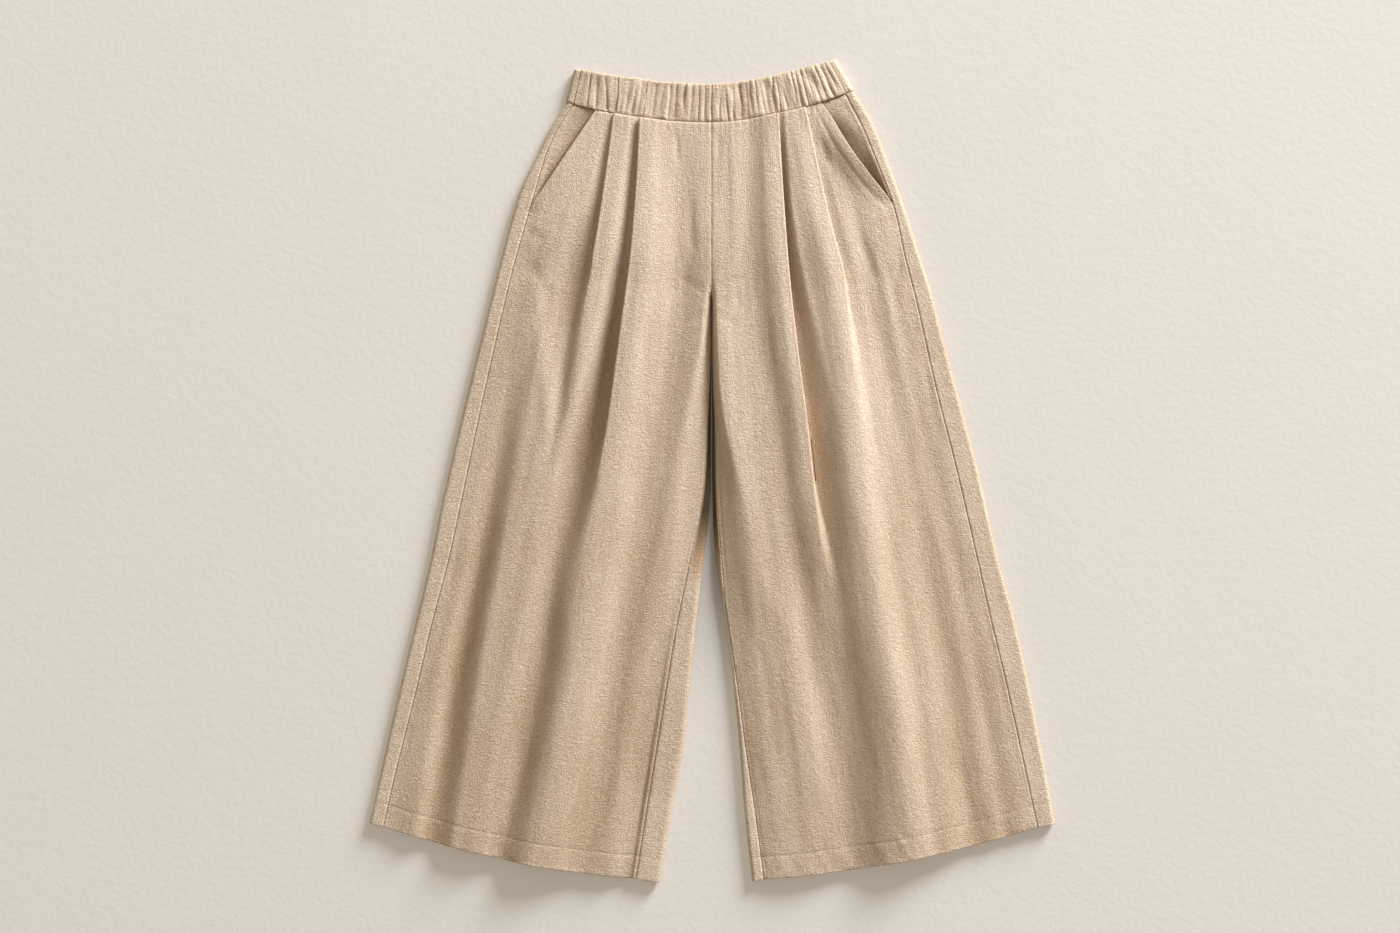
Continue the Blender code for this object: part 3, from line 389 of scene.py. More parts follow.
LEFT_LEG = LegTables(
    side_of=Side.LEFT, waist_side_y=459.2, hem_side_y=-431.5, hem_inner_y=-494.6, side_arch=150,
    seed=8,
    side=((459.2, 162.3, 172.8), (419.4, 183.2, 196.1), (369.7, 203.5, 216.1),
          (321.5, 221.5, 233.5), (259.5, 235.5, 253), (209.6, 248.3, 268.4),
          (105.3, 271.9, 295.3), (-1.6, 298.8, 323.7), (-106.9, 323.1, 347.8),
          (-178.7, 339.2, 367), (-250.5, 356.5, 383), (-336.6, 375.6, 400), (-394.1, 388, 411),
          (-432, 395.8, 418)),
    inner=((203.5, 0.2, 0.2), (114.6, 0.6, 2.8), (63, 0.7, 5.4), (-26.5, 0.9, 7),
           (-75, 2.6, 9.6), (-106.9, 6, 12.4), (-131, 9.4, 14.2), (-164, 14.6, 17.2),
           (-250.5, 25.7, 30), (-336.6, 34, 41.5), (-408.4, 39.5, 52.1), (-498, 49.3, 64)),
    slant=((450.6, 132, 0), (433.5, 144.4, 2), (401, 163.5, 6.5), (370, 185.5, 6),
           (340, 209.7, 1.5), (321.5, 223, 0)),
    pleats=(
        ((445, 113.3, 15, 3.1), (378.7, 127.5, 14, 3.4), (298, 145.5, 9, 4), (239, 161, 3, 3.7),
         (180, 167, -8, 3.9), (100, 174, -18, 4.5), (35, 180, -24, 5), (-105, 196, -28, 6),
         (-279, 222, -32, 6.2), (-460, 244, -34, 5.4)),
        ((437, 80.9, 18, 3.1), (352, 85.7, 17, 4.2), (239, 94.1, 13, 6), (147, 104.5, 8, 6.4),
         (60, 116, 2, 5.8), (-34, 126.5, -6, 3.8), (-100, 133, -20, 0.4), (-131, 134, -30, -2.2),
         (-186, 139, -40, -5), (-229, 144, -45, -7.2), (-279, 151, -48, -9),
         (-326, 157, -48, -9.6), (-470, 168, -46, -8.6)),
    ),
    tucks=(
        ((450, 0, 8, 0), (400, 0.8, 12, 0), (331, 2.2, 14, 0), (270, 3, 16, 0),
         (210, 2.6, 20, 0), (150, 1.4, 24, 0), (80, 0, 24, 0)),
        ((440, 1, 8, 0.1), (400, 4, 8, 0.1), (331, 8.4, 9, 0.1), (270, 10.4, 13, 0.1),
         (210, 11, 21, 0.05), (149, 10.4, 31, 0), (64, 9.8, 40, 0), (-34, 9.2, 42, 0),
         (-100, 7.8, 42, 0), (-186, 5, 44, 0), (-229, 3.2, 44, 0), (-279, 1.2, 44, 0),
         (-326, 0, 44, 0)),
    ),
    folds=(
        ((430, 47, -1.4, 20), (331, 46, -2.2, 21), (260, 46, -1.8, 22), (210, 51, -1.1, 22),
         (149, 64, -1, 22), (64, 81, -1.2, 22), (-34, 92, -1.5, 23), (-131, 110, -2.2, 24),
         (-229, 122, -1.4, 24), (-326, 138, 0, 26)),
        ((380, 46, -0.8, 34), (331, 50, -2.2, 36), (260, 54, -2, 40), (210, 62, -1.7, 44),
         (149, 74, -1.8, 48), (64, 90, -2, 54), (-34, 98, -2.4, 56), (-131, 108, -4, 58),
         (-229, 116, -2, 52), (-326, 122, 0, 50)),
        ((430, 69, 0.6, 13), (331, 71, 1.6, 16), (270, 76, 2, 17), (210, 83, 2.6, 19),
         (149, 90, 2.6, 21), (64, 102, 2.4, 23), (-34, 114, 1.6, 24), (-131, 127, 0.8, 26),
         (-200, 138, 0, 26)),
        ((300, 12, 0, 18), (250, 12, 0.6, 24), (203, 10, 1.6, 28), (149, 12, 2.6, 32),
         (64, 20, 3.2, 34), (-34, 30, 3.2, 34), (-131, 42, 3, 30), (-229, 54, 2.4, 30),
         (-326, 64, 2, 32), (-470, 84, 1.6, 34)),
        ((350, 168, 0, 20), (290, 180, -1.6, 22), (210, 193, -3, 24), (149, 206, -3.4, 26),
         (64, 224, -3, 28), (-34, 246, -3.4, 30), (-131, 264, -3.8, 32), (-279, 292, -4.2, 34),
         (-470, 320, -4, 36)),
        ((240, 224, 0, 14), (180, 232, -1.4, 15), (64, 256, -1.8, 18), (-34, 280, -2.6, 20),
         (-131, 304, -2.8, 22), (-279, 334, -2.6, 24), (-470, 366, -2.2, 24)),
        ((430, 100, 0, 22), (392, 111, 1.4, 22), (331, 121, 2.4, 24), (270, 136, 3.4, 26),
         (210, 149, 3.8, 28), (149, 160, 3.8, 30), (64, 169, 3.2, 32), (-34, 180, 2.6, 34),
         (-131, 196, 2.6, 36), (-229, 210, 2.6, 38), (-326, 222, 2.2, 38), (-470, 243, 1.8, 40)),
    ),
    inner_arch=((203, 4), (149, 5), (64, 10), (-34, 36), (-131, 52), (-229, 85), (-470, 100)),
    gathers=((10, 0.7, 0), (15, 0.5, 1), (20, 0.7, 0), (28, 0.7, -1), (37, 0.8, 0), (46, 0.9, 0),
             (51, 0.6, 1), (58, 0.8, 0), (65, 0.7, 1), (79, 1.3, -4), (85, 0.6, -2),
             (93, 0.7, 0), (107, 1.3, -6), (113, 0.6, -4), (120, 0.9, -4), (127, 0.7, -3),
             (134, 0.9, -2), (141, 0.7, 0), (149, 0.8, 0), (156, 0.6, 0)),
    creases=(
        Crease(((116, 452), (132, 430.2), (147.6, 399.4), (163.1, 377.5), (186.3, 346.4),
                (206.5, 326.4), (226, 306)), 0.8, 4.2, 0.6),
        Crease(((226, 316), (208, 300), (190, 292)), 0.9, 9, 0.3),
        Crease(((236, 286), (226, 240), (222, 190)), 0.8, 9),
        Crease(((258, 150), (266, 90), (280, 20)), 0.8, 10),
        Crease(((214, 40), (226, -40), (240, -120)), 0.7, 12),
        Crease(((330, -130), (348, -220), (366, -310)), 0.9, 12),
        Crease(((300, -330), (312, -400), (322, -450)), 0.8, 12),
        Crease(((60, -200), (72, -290), (84, -380)), 0.8, 12),
        Crease(((110, -250), (124, -340), (134, -420)), -0.8, 14),
        Crease(((4, 216), (20, 230), (34, 236)), 0.8, 8),
        Crease(((4, 196), (18, 184), (34, 178)), 0.6, 7),
        Crease(((134, 408), (138, 388), (142, 366)), 1.3, 8, 0.3),
        Crease(((8, 412), (10, 392), (9, 372)), 0.7, 6),
        Crease(((176, 296), (190, 262), (200, 226)), 1, 9),
    ),
    back_creases=(
        Crease(((50, 280), (96, 236), (160, 204)), 1.1, 22),
        Crease(((180, 90), (206, -30), (230, -150)), 1.4, 30),
        Crease(((70, -60), (104, -190), (140, -310)), 1.2, 26),
        Crease(((290, -90), (312, -220), (334, -330)), 1.1, 24),
        Crease(((40, 392), (92, 386), (150, 398)), 0.8, 13),
        Crease(((24, 172), (70, 184), (112, 172)), 0.8, 13),
    ),
)

# The waistband in plan: (x and y on the waist seam, x and y at the top edge)
BAND: Rows = ((-176.3, 448.7, -165.5, 490.1), (-142.1, 440.1, -136, 484.2),
              (-87.5, 430.7, -80.1, 476.1), (-48, 426, -44, 472.2), (0, 424.4, 0, 470.6),
              (38, 427.3, 34, 473.8), (80.4, 435.6, 72.8, 480.4), (112.6, 443, 98.3, 486.8),
              (141.3, 451.8, 124, 493.5), (172.2, 463, 149.7, 500.4))


def number(value: np.ndarray) -> float:
    """A plain number from a one-number array."""
    return float(np.asarray(value))


class CrossLine:
    """One cross line of a leg, from its side seam to its centre seam or inseam."""

    def __init__(self, leg: LegTables, share: float) -> None:
        """Place the line.

        Args:
            leg: the half of the trousers.
            share: how far down the line lies, from 0 at the waist to 1 at the hem.
        """
        self.leg = leg
        self.share = share
        self.side_y = blend(leg.waist_side_y, leg.hem_side_y, share)
        self.inner_y = blend(WAIST_CENTRE_Y, leg.hem_inner_y, share)
        self.seam = number(follow(leg.side, self.side_y, 1))
        self.edge = number(follow(leg.side, self.side_y, 2)) - CLOTH / 2.0
        self.turned = number(ease((share - CROTCH + CROTCH_TURN) / CROTCH_TURN))
        self.inner_edge = SEAM_GAP / 2.0 + self.turned * CLOTH / 2.0
        self.inner_seam = self.inner_edge
        if share > CROTCH:
            self.inner_edge += number(follow(leg.inner, self.inner_y, 1))
            self.inner_seam = max(number(follow(leg.inner, self.inner_y, 2)), self.inner_edge)
        self.pocket = number(ease((POCKET_END - share) / POCKET_FADE))

    def y(self, out: np.ndarray) -> np.ndarray:
        """The height on the garment of points this far out on the line."""
        across = (self.seam - out) / (self.seam - self.inner_seam)
        waist_seam = number(follow(self.leg.side, self.leg.waist_side_y, 1))
        waist_x = self.leg.sign * blend(waist_seam, SEAM_GAP / 2.0, across)
        waist_chord = blend(self.leg.waist_side_y, WAIST_CENTRE_Y, across)
        waist_bow = follow(BAND, waist_x, 1) - waist_chord
        hem_bow = -HEM_SAG * np.maximum(4.0 * across * (1.0 - across), 0.0)
        return blend(self.side_y, self.inner_y, across) + blend(waist_bow, hem_bow, self.share)

    def slant(self) -> float:
        """Where the pocket's slanted edge crosses the line."""
        out = number(follow(self.leg.slant, self.side_y, 1))
        for _ in range(12):
            out = number(follow(self.leg.slant, self.y(out), 1))
        return out

    def loft(self, out: np.ndarray, boundary: float) -> np.ndarray:
        """Height of the front above the rolled edges, without its pleats.

        Args:
            out: points along the line.
            boundary: where the front ends towards the side.

        Returns:
            Heights at those points.
        """
        y = self.y(out)
        held = number(ease((CROTCH + CROTCH_HOLD - self.share) / CROTCH_FADE))
        inside, outside = out - self.inner_seam, boundary - out
        inner_rise = blend(ease(inside / follow(self.leg.inner_arch, y, 1)), 1.0, held)
        height = follow(LOFT, y, 1) * ease(outside / self.leg.side_arch) * inner_rise
        fade = ease(inside / FOLD_FADE[0]) * ease(outside / FOLD_FADE[1])
        for rise in self.folds(out, y):
            height = height + rise * fade
        return np.maximum(height, LOWEST_FOLD)

    def folds(self, out: np.ndarray, y: np.ndarray) -> list[np.ndarray]:
        """What each soft fold adds to the cloth's height at points of the line."""
        return [follow(fold, y, 2)
                * ease(1.0 - np.abs(out - follow(fold, y, 1)) / follow(fold, y, 3))
                for fold in self.leg.folds]

    def fan(self, out: np.ndarray) -> np.ndarray:
        """Distances across, in the measure whose lines fan out with the leg."""
        return (out - self.inner_seam) / (self.seam - self.inner_seam) * FAN_WIDTH

    def pleats(self) -> list["PleatFold"]:
        """The leg's two pleats where the line meets them, the outer one first."""
        met = []
        for pleat, tuck in zip(self.leg.pleats, self.leg.tucks):
            y = self.y(follow(pleat, self.side_y, 1))
            y = self.y(follow(pleat, y, 1))
            fold, overlap, step = (number(follow(pleat, y, column)) for column in (1, 2, 3))
            if overlap > 0.0:
                step = max(step, 2.0 * PLEAT_PITCH)
            met.append(PleatFold(fold, overlap, step, tuck))
        return met


def rolled(edge: float, distance: np.ndarray, inward: float) -> tuple[np.ndarray, np.ndarray]:
    """Points of an edge's roll.

    Args:
        edge: the outermost point of the roll.
        distance: distances along it from there, over the top where positive.
        inward: the direction into the garment.

    Returns:
        Distances out and heights.
    """
    middle = CLOTH / 2.0 + EDGE_RADIUS
    angle = np.clip(distance, -QUARTER_ROLL, QUARTER_ROLL) / EDGE_RADIUS
    beyond = np.maximum(np.abs(distance) - QUARTER_ROLL, 0.0)
    reach = EDGE_RADIUS * (1.0 - np.cos(angle)) + beyond
    return edge + inward * reach, middle + EDGE_RADIUS * np.sin(angle)


def seam_distance(width: float) -> float:
    """Distance along a roll to a seam seen this far in from the edge."""
    if width < EDGE_RADIUS:
        return EDGE_RADIUS * math.acos(1.0 - max(width, 0.0) / EDGE_RADIUS)
    return QUARTER_ROLL + width - EDGE_RADIUS


def rounded(points: np.ndarray, splits: tuple[int, ...]) -> np.ndarray:
    """A smooth curve through points, straight where they lie far apart.

    Args:
        points: the points, one a row.
        splits: how many steps each stretch gets.

    Returns:
        The finer points.
    """
    ahead = np.vstack([points[1:], points[-1:]])
    behind = np.vstack([points[:1], points[:-1]])
    ways = (ahead - behind) / np.linalg.norm(ahead - behind, axis=1)[:, None]
    finer = []
    for index, count in enumerate(splits):
        start, end = points[index], points[index + 1]
        length = np.linalg.norm(end - start) * 1.1
        for step in range(count):
            share = step / count
            square, cube = share ** 2, share ** 3
            finer.append(start * (2 * cube - 3 * square + 1) + end * (3 * square - 2 * cube)
                         + ways[index] * length * (cube - 2 * square + share)
                         + ways[index + 1] * length * (cube - square))
    finer.append(points[-1])
    return np.array(finer)


@dataclass(frozen=True)
class PleatFold:
    """A pleat where a cross line meets it.

    fold is where its fold lies, overlap the depth of the cloth folded under it, or
    less the width of the slope it has opened into, step the height from the cloth
    outside to its upper layer, and tuck the table of the hollow beside it.
    """

    fold: float
    overlap: float
    step: float
    tuck: Rows
    splits: tuple[int, ...] = (3, 5, 3, 3, 5, 4, 5)

    def points(self) -> np.ndarray:
        """The pleat's section: distances inwards from its fold and heights, a point a row."""
        turn = PLEAT_PITCH / 2.0
        shares = np.arange(8) / 7.0
        width = max(-self.overlap, PLEAT_LEAD)
        points = np.stack([width * (shares - 1.0) + PLEAT_LEAD / 2.0, ease(shares)], axis=1)
        if self.overlap > 0.0:
            pressed = np.array([
                (-PLEAT_LEAD, 0.0), (self.overlap - turn, 0.0), (self.overlap, 0.25),
                (self.overlap - turn, 0.5), (turn, 0.5), (0.0, 0.75), (turn, 1.0),
                (PLEAT_LEAD, 1.0)])
            points = blend(points, pressed, ease(self.overlap / PLEAT_UPRIGHT))
        points[:, 1] *= self.step
        return rounded(points, self.splits)

    def rise(self, out: np.ndarray) -> np.ndarray:
        """What the pleat adds to the height of the cloth inside it."""
        end = self.fold - max(self.overlap, 0.0)
        return self.step * (1.0 - ease((end - out) / STEP_DECAY))

    def hollow(self, out: np.ndarray, y: np.ndarray) -> np.ndarray:
        """The hollow that runs along the outside of the pleat."""
        share = np.maximum(out - self.fold, 0.0) / follow(self.tuck, y, 2)
        return -follow(self.tuck, y, 1) * (1.0 - ease(np.abs(share - follow(self.tuck, y, 3))))

    def lowest(self, heights: np.ndarray, before: int, whole: int) -> np.ndarray:
        """How far each point of a section belongs to the cloth outside the pleat.

        Args:
            heights: of the pleat's own points.
            before: how many points of the section lie outside the pleat.
            whole: how many points the section has.

        Returns:
            A weight for each point of the section.
        """
        reach = blend(0.45, 1.0, number(ease(0.4 - self.overlap / 12.0)))
        low = 1.0 - ease(np.abs(heights) / max(abs(self.step), 0.01) / reach)
        return np.concatenate([np.ones(before), low, np.zeros(whole - before - len(low))])


def stacked(rows: list[dict[str, np.ndarray]]) -> dict[str, np.ndarray]:
    """The rows of a piece of cloth as one array for each of their values."""
    return {key: np.stack([row[key] for row in rows]) for key in rows[0]}


def placed(name: str, mesh: bpy.types.Mesh, material: bpy.types.Material) -> bpy.types.Object:
    """Put a smooth mesh in the scene.

    Args:
        name: the piece's name.
        mesh: its mesh.
        material: its one material.

    Returns:
        The piece.
    """
    mesh.shade_smooth()
    mesh.materials.append(material)
    piece = bpy.data.objects.new(name, mesh)
    bpy.context.scene.collection.objects.link(piece)
    return piece


@dataclass
class ClothGrid:
    """The middle of a piece of cloth as rows of points, and what it is made into.

    out and y place the points in plan and z is their height. outer and inner are the
    distances from there to the two faces. fan is the distance across in the measure
    whose lines fan out with the leg, tone the painted light and shade that the creases
    and the rest of the form give the cloth's colour, and faces the points of the two
    faces once the piece is made.
    """

    sign: float
    out: np.ndarray
    y: np.ndarray
    z: np.ndarray
    outer: np.ndarray
    inner: np.ndarray
    fan: np.ndarray
    tone: np.ndarray
    upward: bool = True
    faces: list[np.ndarray] = field(default_factory=list)

    def points(self) -> np.ndarray:
        """The middle's points in space, in millimetres."""
        return np.stack([self.sign * self.out, self.y, self.z], axis=-1)

    def normals(self, points: np.ndarray) -> np.ndarray:
        """The outward directions of the cloth at its points.

        Args:
            points: the grid's points.

        Returns:
            Unit vectors, one for each point.
        """
        across = np.gradient(points, axis=1)
        along = np.gradient(points, axis=0)
        normal = np.cross(across, along)
        if (self.sign > 0.0) != self.upward:
            normal = -normal
        return normal / np.maximum(np.linalg.norm(normal, axis=-1, keepdims=True), 1e-9)

    def make(self, name: str, material: bpy.types.Material) -> bpy.types.Object:
        """Build the closed shell.

        Args:
            name: the piece's name.
            material: its cloth.

        Returns:
            The piece.
        """
        middle = self.points()
        normal = self.normals(middle)
        self.faces = [middle + normal * self.outer[..., None],
                      middle - normal * self.inner[..., None]]
        rows, columns = self.out.shape
        layer = rows * columns
        index = np.arange(layer).reshape(rows, columns)
        quads = np.stack([index[:-1, :-1], index[:-1, 1:], index[1:, 1:], index[1:, :-1]], axis=-1)
        quads = quads.reshape(-1, 4)
        rim = np.concatenate([index[0, :], index[1:, -1], index[-1, -2::-1], index[-2:0:-1, 0]])
        following = np.roll(rim, -1)
        sides = np.stack([following, rim, rim + layer, following + layer], axis=-1)
        everything = np.concatenate([quads, quads[:, ::-1] + layer, sides])
        if (self.sign > 0.0) != self.upward:
            everything = everything[:, ::-1]
        mesh = bpy.data.meshes.new(name)
        vertices = np.concatenate([face.reshape(-1, 3) for face in self.faces]) * MM
        mesh.from_pydata(vertices, [], everything.tolist())
        self.lay_maps(mesh, middle)
        return placed(name, mesh, material)

    def lay_maps(self, mesh: bpy.types.Mesh, middle: np.ndarray) -> None:
        """Give the mesh the cloth's own coordinates, and the painted light and shade of its colour.

        Args:
            mesh: the shell's mesh.
            middle: the grid's points.
        """
        steps = np.linalg.norm(np.diff(middle, axis=1), axis=-1)
        run = np.concatenate([np.zeros((len(steps), 1)), np.cumsum(steps, axis=1)], axis=1)
        run = run[:, -1:] - run
        corners = np.zeros(len(mesh.loops), dtype=np.int64)
        mesh.loops.foreach_get("vertex_index", corners)
        corners %= run.size
        for name, across in (("weave", run), ("fan", self.fan)):
            layer = mesh.uv_layers.new(name=name)
            pair = np.stack([across.ravel() * MM, self.y.ravel() * MM], axis=-1)
            layer.uv.foreach_set("vector", pair[corners].astype(np.float32).ravel())
        # The painted light and shade of the cloth's colour, kept as a point attribute.
        tone = mesh.attributes.new("tone", "FLOAT", "POINT")
        tone.data.foreach_set("value", np.tile(self.tone.ravel(), 2).astype(np.float32))

    def ridge(self, row: int, out: float) -> np.ndarray:
        """The outer face's point on a row, this far out, on its topmost layer."""
        line = self.faces[0][row]
        order = np.argsort(self.out[row])
        return np.array([np.interp(out, self.out[row][order], line[order, axis])
                         for axis in range(3)])


def rim_factor(distance: np.ndarray, radius: float = RIM) -> np.ndarray:
    """How much of a wall's thickness is left near its rounded rim."""
    share = np.clip(1.0 - distance / radius, 0.0, 1.0)
    return np.sqrt(np.maximum(1.0 - 0.86 * share ** 2, 0.0))


def down_the_leg() -> np.ndarray:
    """Shares of the rows down a leg, closer at the waist, crotch, pocket end and hem."""
    even = np.linspace(0.0, 1.0, 176)
    waist = np.array([0.0004, 0.001, 0.002, 0.0035, 0.008, 0.011, 0.014, 0.020, 0.026, 0.031])
    pocket = np.linspace(POCKET_END - 0.012, POCKET_END + 0.004, 7)
    crotch = np.linspace(CROTCH - 0.010, CROTCH + 0.004, 8)
    hem = np.array([-2.4, -1.4, -0.7, 0.0, 0.7, 1.4, 2.4]) / LEG_LENGTH + HEM_LINE
    edge = 1.0 - np.array([0.25, 0.55, 0.95, 1.5, 2.3, 3.4]) / LEG_LENGTH
    shares = np.unique(np.concatenate([even, waist, pocket, crotch, hem, edge]))
    keep = np.concatenate([[True], np.diff(shares) > 0.00018])
    return shares[keep]


def edge_columns(start: float, end: float, count: int, squeeze: float = 1.0) -> np.ndarray:
    """Distances out from one point to another, crowded at the first.

    Args:
        start: the first, at a seam.
        end: the last, which is left out.
        count: how many.
        squeeze: how much closer the crowded ones lie than usual.

    Returns:
        The distances.
    """
    way = math.copysign(squeeze, end - start)
    rest = np.linspace(start + way * SEAM_REACH, end, count - len(SEAM_STEPS) + 1)[:-1]
    return np.concatenate([start + way * SEAM_STEPS, rest])


def groove(distance: np.ndarray, size: tuple[float, float]) -> np.ndarray:
    """The height of a groove of a depth and width, at distances from it."""
    return -size[0] * np.exp(-(distance / size[1]) ** 2)


def seam_relief(distance: np.ndarray, y: np.ndarray, seed: float) -> np.ndarray:
    """The groove and puckers of a seam, the same on both its sides.

    Args:
        distance: how far the points lie from the seam.
        y: heights on the garment.
        seed: a number that sets the puckers.

    Returns:
        Heights to add.
    """
    pucker = noise_sum(SEAM_PUCKERS, y, y * 0.0, seed)
    return groove(distance, SEAM_GROOVE) + pucker * np.exp(-distance / SEAM_PUCKER_REACH)


class Nodes:
    """A node tree with short calls to fill it."""

    def __init__(self, tree: bpy.types.NodeTree) -> None:
        """Keep the tree."""
        self.tree = tree

    def feed(self, node: bpy.types.Node, **sockets: object) -> None:
        """Fill a node's inputs.

        Args:
            node: the node.
            sockets: values or output sockets for its inputs, by name with spaces as _,
                or by place as s0, s1 and so on.
        """
        for name, value in sockets.items():
            place = name[1:]
            key = int(place) if name[0] == "s" and place.isdigit() else name.replace("_", " ")
            if isinstance(value, bpy.types.NodeSocket):
                self.tree.links.new(value, node.inputs[key])
            else:
                node.inputs[key].default_value = value

    def add(self, kind: str, settings: dict | None = None, **sockets: object) -> bpy.types.Node:
        """Add a node.

        Args:
            kind: the node's type.
            settings: attributes to set on it.
            sockets: what feeds its inputs.

        Returns:
            The node.
        """
        node = self.tree.nodes.new(kind)
        for name, value in (settings or {}).items():
            setattr(node, name, value)
        self.feed(node, **sockets)
        return node

    def math(self, what: str, first: object, second: object = 0.0) -> bpy.types.NodeSocket:
        """The result of a sum of two values or sockets."""
        return self.add("ShaderNodeMath", {"operation": what}, s0=first, s1=second).outputs[0]

    def limited(self, value: bpy.types.NodeSocket, low: float, high: float) -> bpy.types.NodeSocket:
        """The value, no lower than low and no higher than high."""
        return self.math("MINIMUM", self.math("MAXIMUM", value, low), high)

    def weighted(self, *parts: tuple[bpy.types.NodeSocket, float]) -> bpy.types.NodeSocket:
        """The sum of values, each times its weight."""
        total, *others = [self.math("MULTIPLY", value, weight) for value, weight in parts]
        for part in others:
            total = self.math("ADD", total, part)
        return total

    def mix(self, share: bpy.types.NodeSocket, low: object, high: Colour,
            clamp: bool = True) -> bpy.types.NodeSocket:
        """The colour a share of the way from low, a colour or a socket, to high."""
        if not isinstance(low, bpy.types.NodeSocket):
            low = (*low, 1.0)
        return self.add("ShaderNodeMix", {"data_type": "RGBA", "clamp_factor": clamp}, s0=share,
                        s6=low, s7=(*high, 1.0)).outputs[2]

    def scaled(self, vector: bpy.types.NodeSocket, size: object) -> bpy.types.NodeSocket:
        """The coordinates times one size."""
        return self.add("ShaderNodeVectorMath", {"operation": "SCALE"}, s0=vector,
                        Scale=size).outputs[0]

    def stretch(self, vector: bpy.types.NodeSocket, scale: tuple) -> bpy.types.NodeSocket:
        """The coordinates times a scale of their own, from a start outside the cloth."""
        start = tuple(PATTERN_START * part for part in scale)
        return self.add("ShaderNodeMapping", {"vector_type": "POINT"}, Vector=vector,
                        Location=start, Scale=scale).outputs[0]

    def noise(self, vector: bpy.types.NodeSocket, detail: float, rough: float,
              twist: float = 0.0) -> bpy.types.NodeSocket:
        """Noise at unit scale over the coordinates."""
        return self.add("ShaderNodeTexNoise", {}, Vector=vector, Scale=1.0, Detail=detail,
                        Roughness=rough, Distortion=twist).outputs[0]

    def spread(self, value: bpy.types.NodeSocket, low: float, high: float) -> bpy.types.NodeSocket:
        """The value stretched so that low becomes 0 and high 1."""
        return self.add("ShaderNodeMapRange", {"interpolation_type": "SMOOTHSTEP"}, s0=value,
                        s1=low, s2=high).outputs[0]


def new_group(name: str, inputs: tuple[tuple[str, str, object], ...],
              outputs: tuple[tuple[str, str], ...]) -> tuple:
    """Start a shader node group.

    Args:
        name: the group's name.
        inputs: each input's name, socket type and value.
        outputs: each output's name and socket type.

    Returns:
        The group, its nodes, and its input and output nodes.
    """
    tree = bpy.data.node_groups.new(name, "ShaderNodeTree")
    for label, kind, value in inputs:
        socket = tree.interface.new_socket(label, in_out="INPUT", socket_type=kind)
        if value is not None:
            socket.default_value = value
    for label, kind in outputs:
        tree.interface.new_socket(label, in_out="OUTPUT", socket_type=kind)
    return tree, Nodes(tree), tree.nodes.new("NodeGroupInput"), tree.nodes.new("NodeGroupOutput")


def yarn_group() -> bpy.types.NodeTree:
    """Flecked linen yarn: short curled flecks, slubs along the warp, and their height."""
    tree, nodes, given, result = new_group(
        "flecked_yarn",
        (("Weave", "NodeSocketVector", None), ("Fan", "NodeSocketVector", None),
         ("Fleck Size", "NodeSocketFloat", 1.0)),
        (("Fleck", "NodeSocketFloat"), ("Slub", "NodeSocketFloat"), ("Height", "NodeSocketFloat")))
    weave = nodes.scaled(given.outputs["Weave"], given.outputs["Fleck Size"])
    fan = given.outputs["Fan"]
    curl = nodes.noise(nodes.stretch(weave, (460.0, 360.0, 1.0)), 2.0, 0.6, 1.2)
    weft = nodes.noise(nodes.stretch(weave, (150.0, 640.0, 1.0)), 2.0, 0.5, 0.8)
    warp = nodes.noise(nodes.stretch(weave, (640.0, 150.0, 1.0)), 2.0, 0.5, 0.8)
    long_slub = nodes.noise(nodes.stretch(fan, (170.0, 26.0, 1.0)), 3.0, 0.6, 0.8)
    wide_slub = nodes.noise(nodes.stretch(fan, (70.0, 11.0, 1.0)), 2.0, 0.5, 0.6)
    curl = nodes.spread(curl, 0.34, 0.66)
    yarns = nodes.spread(nodes.weighted((weft, 0.5), (warp, 0.5)), 0.32, 0.68)
    slub = nodes.spread(nodes.weighted((long_slub, 0.6), (wide_slub, 0.4)), 0.32, 0.68)
    nodes.feed(result, Fleck=nodes.weighted((curl, 0.6), (yarns, 0.4)), Slub=slub,
               Height=nodes.weighted((curl, 0.55), (yarns, 0.35), (slub, 0.25)))
    return tree


def cloud_group() -> bpy.types.NodeTree:
    """Broad soft patches, for a colour that wanders over cloth or floor."""
    tree, nodes, given, result = new_group(
        "soft_patches",
        (("Vector", "NodeSocketVector", None), ("Size", "NodeSocketFloat", 1.0)),
        (("Patch", "NodeSocketFloat"),))
    place = nodes.scaled(given.outputs["Vector"], given.outputs["Size"])
    nodes.feed(result, Patch=nodes.spread(nodes.noise(place, 3.0, 0.55, 0.3), 0.3, 0.7))
    return tree


def new_material(name: str) -> tuple[bpy.types.Material, Nodes, bpy.types.Node]:
    """Start a material: the material, its nodes and its shader."""
    material = bpy.data.materials.new(name)
    material.use_nodes = True
    return material, Nodes(material.node_tree), material.node_tree.nodes["Principled BSDF"]


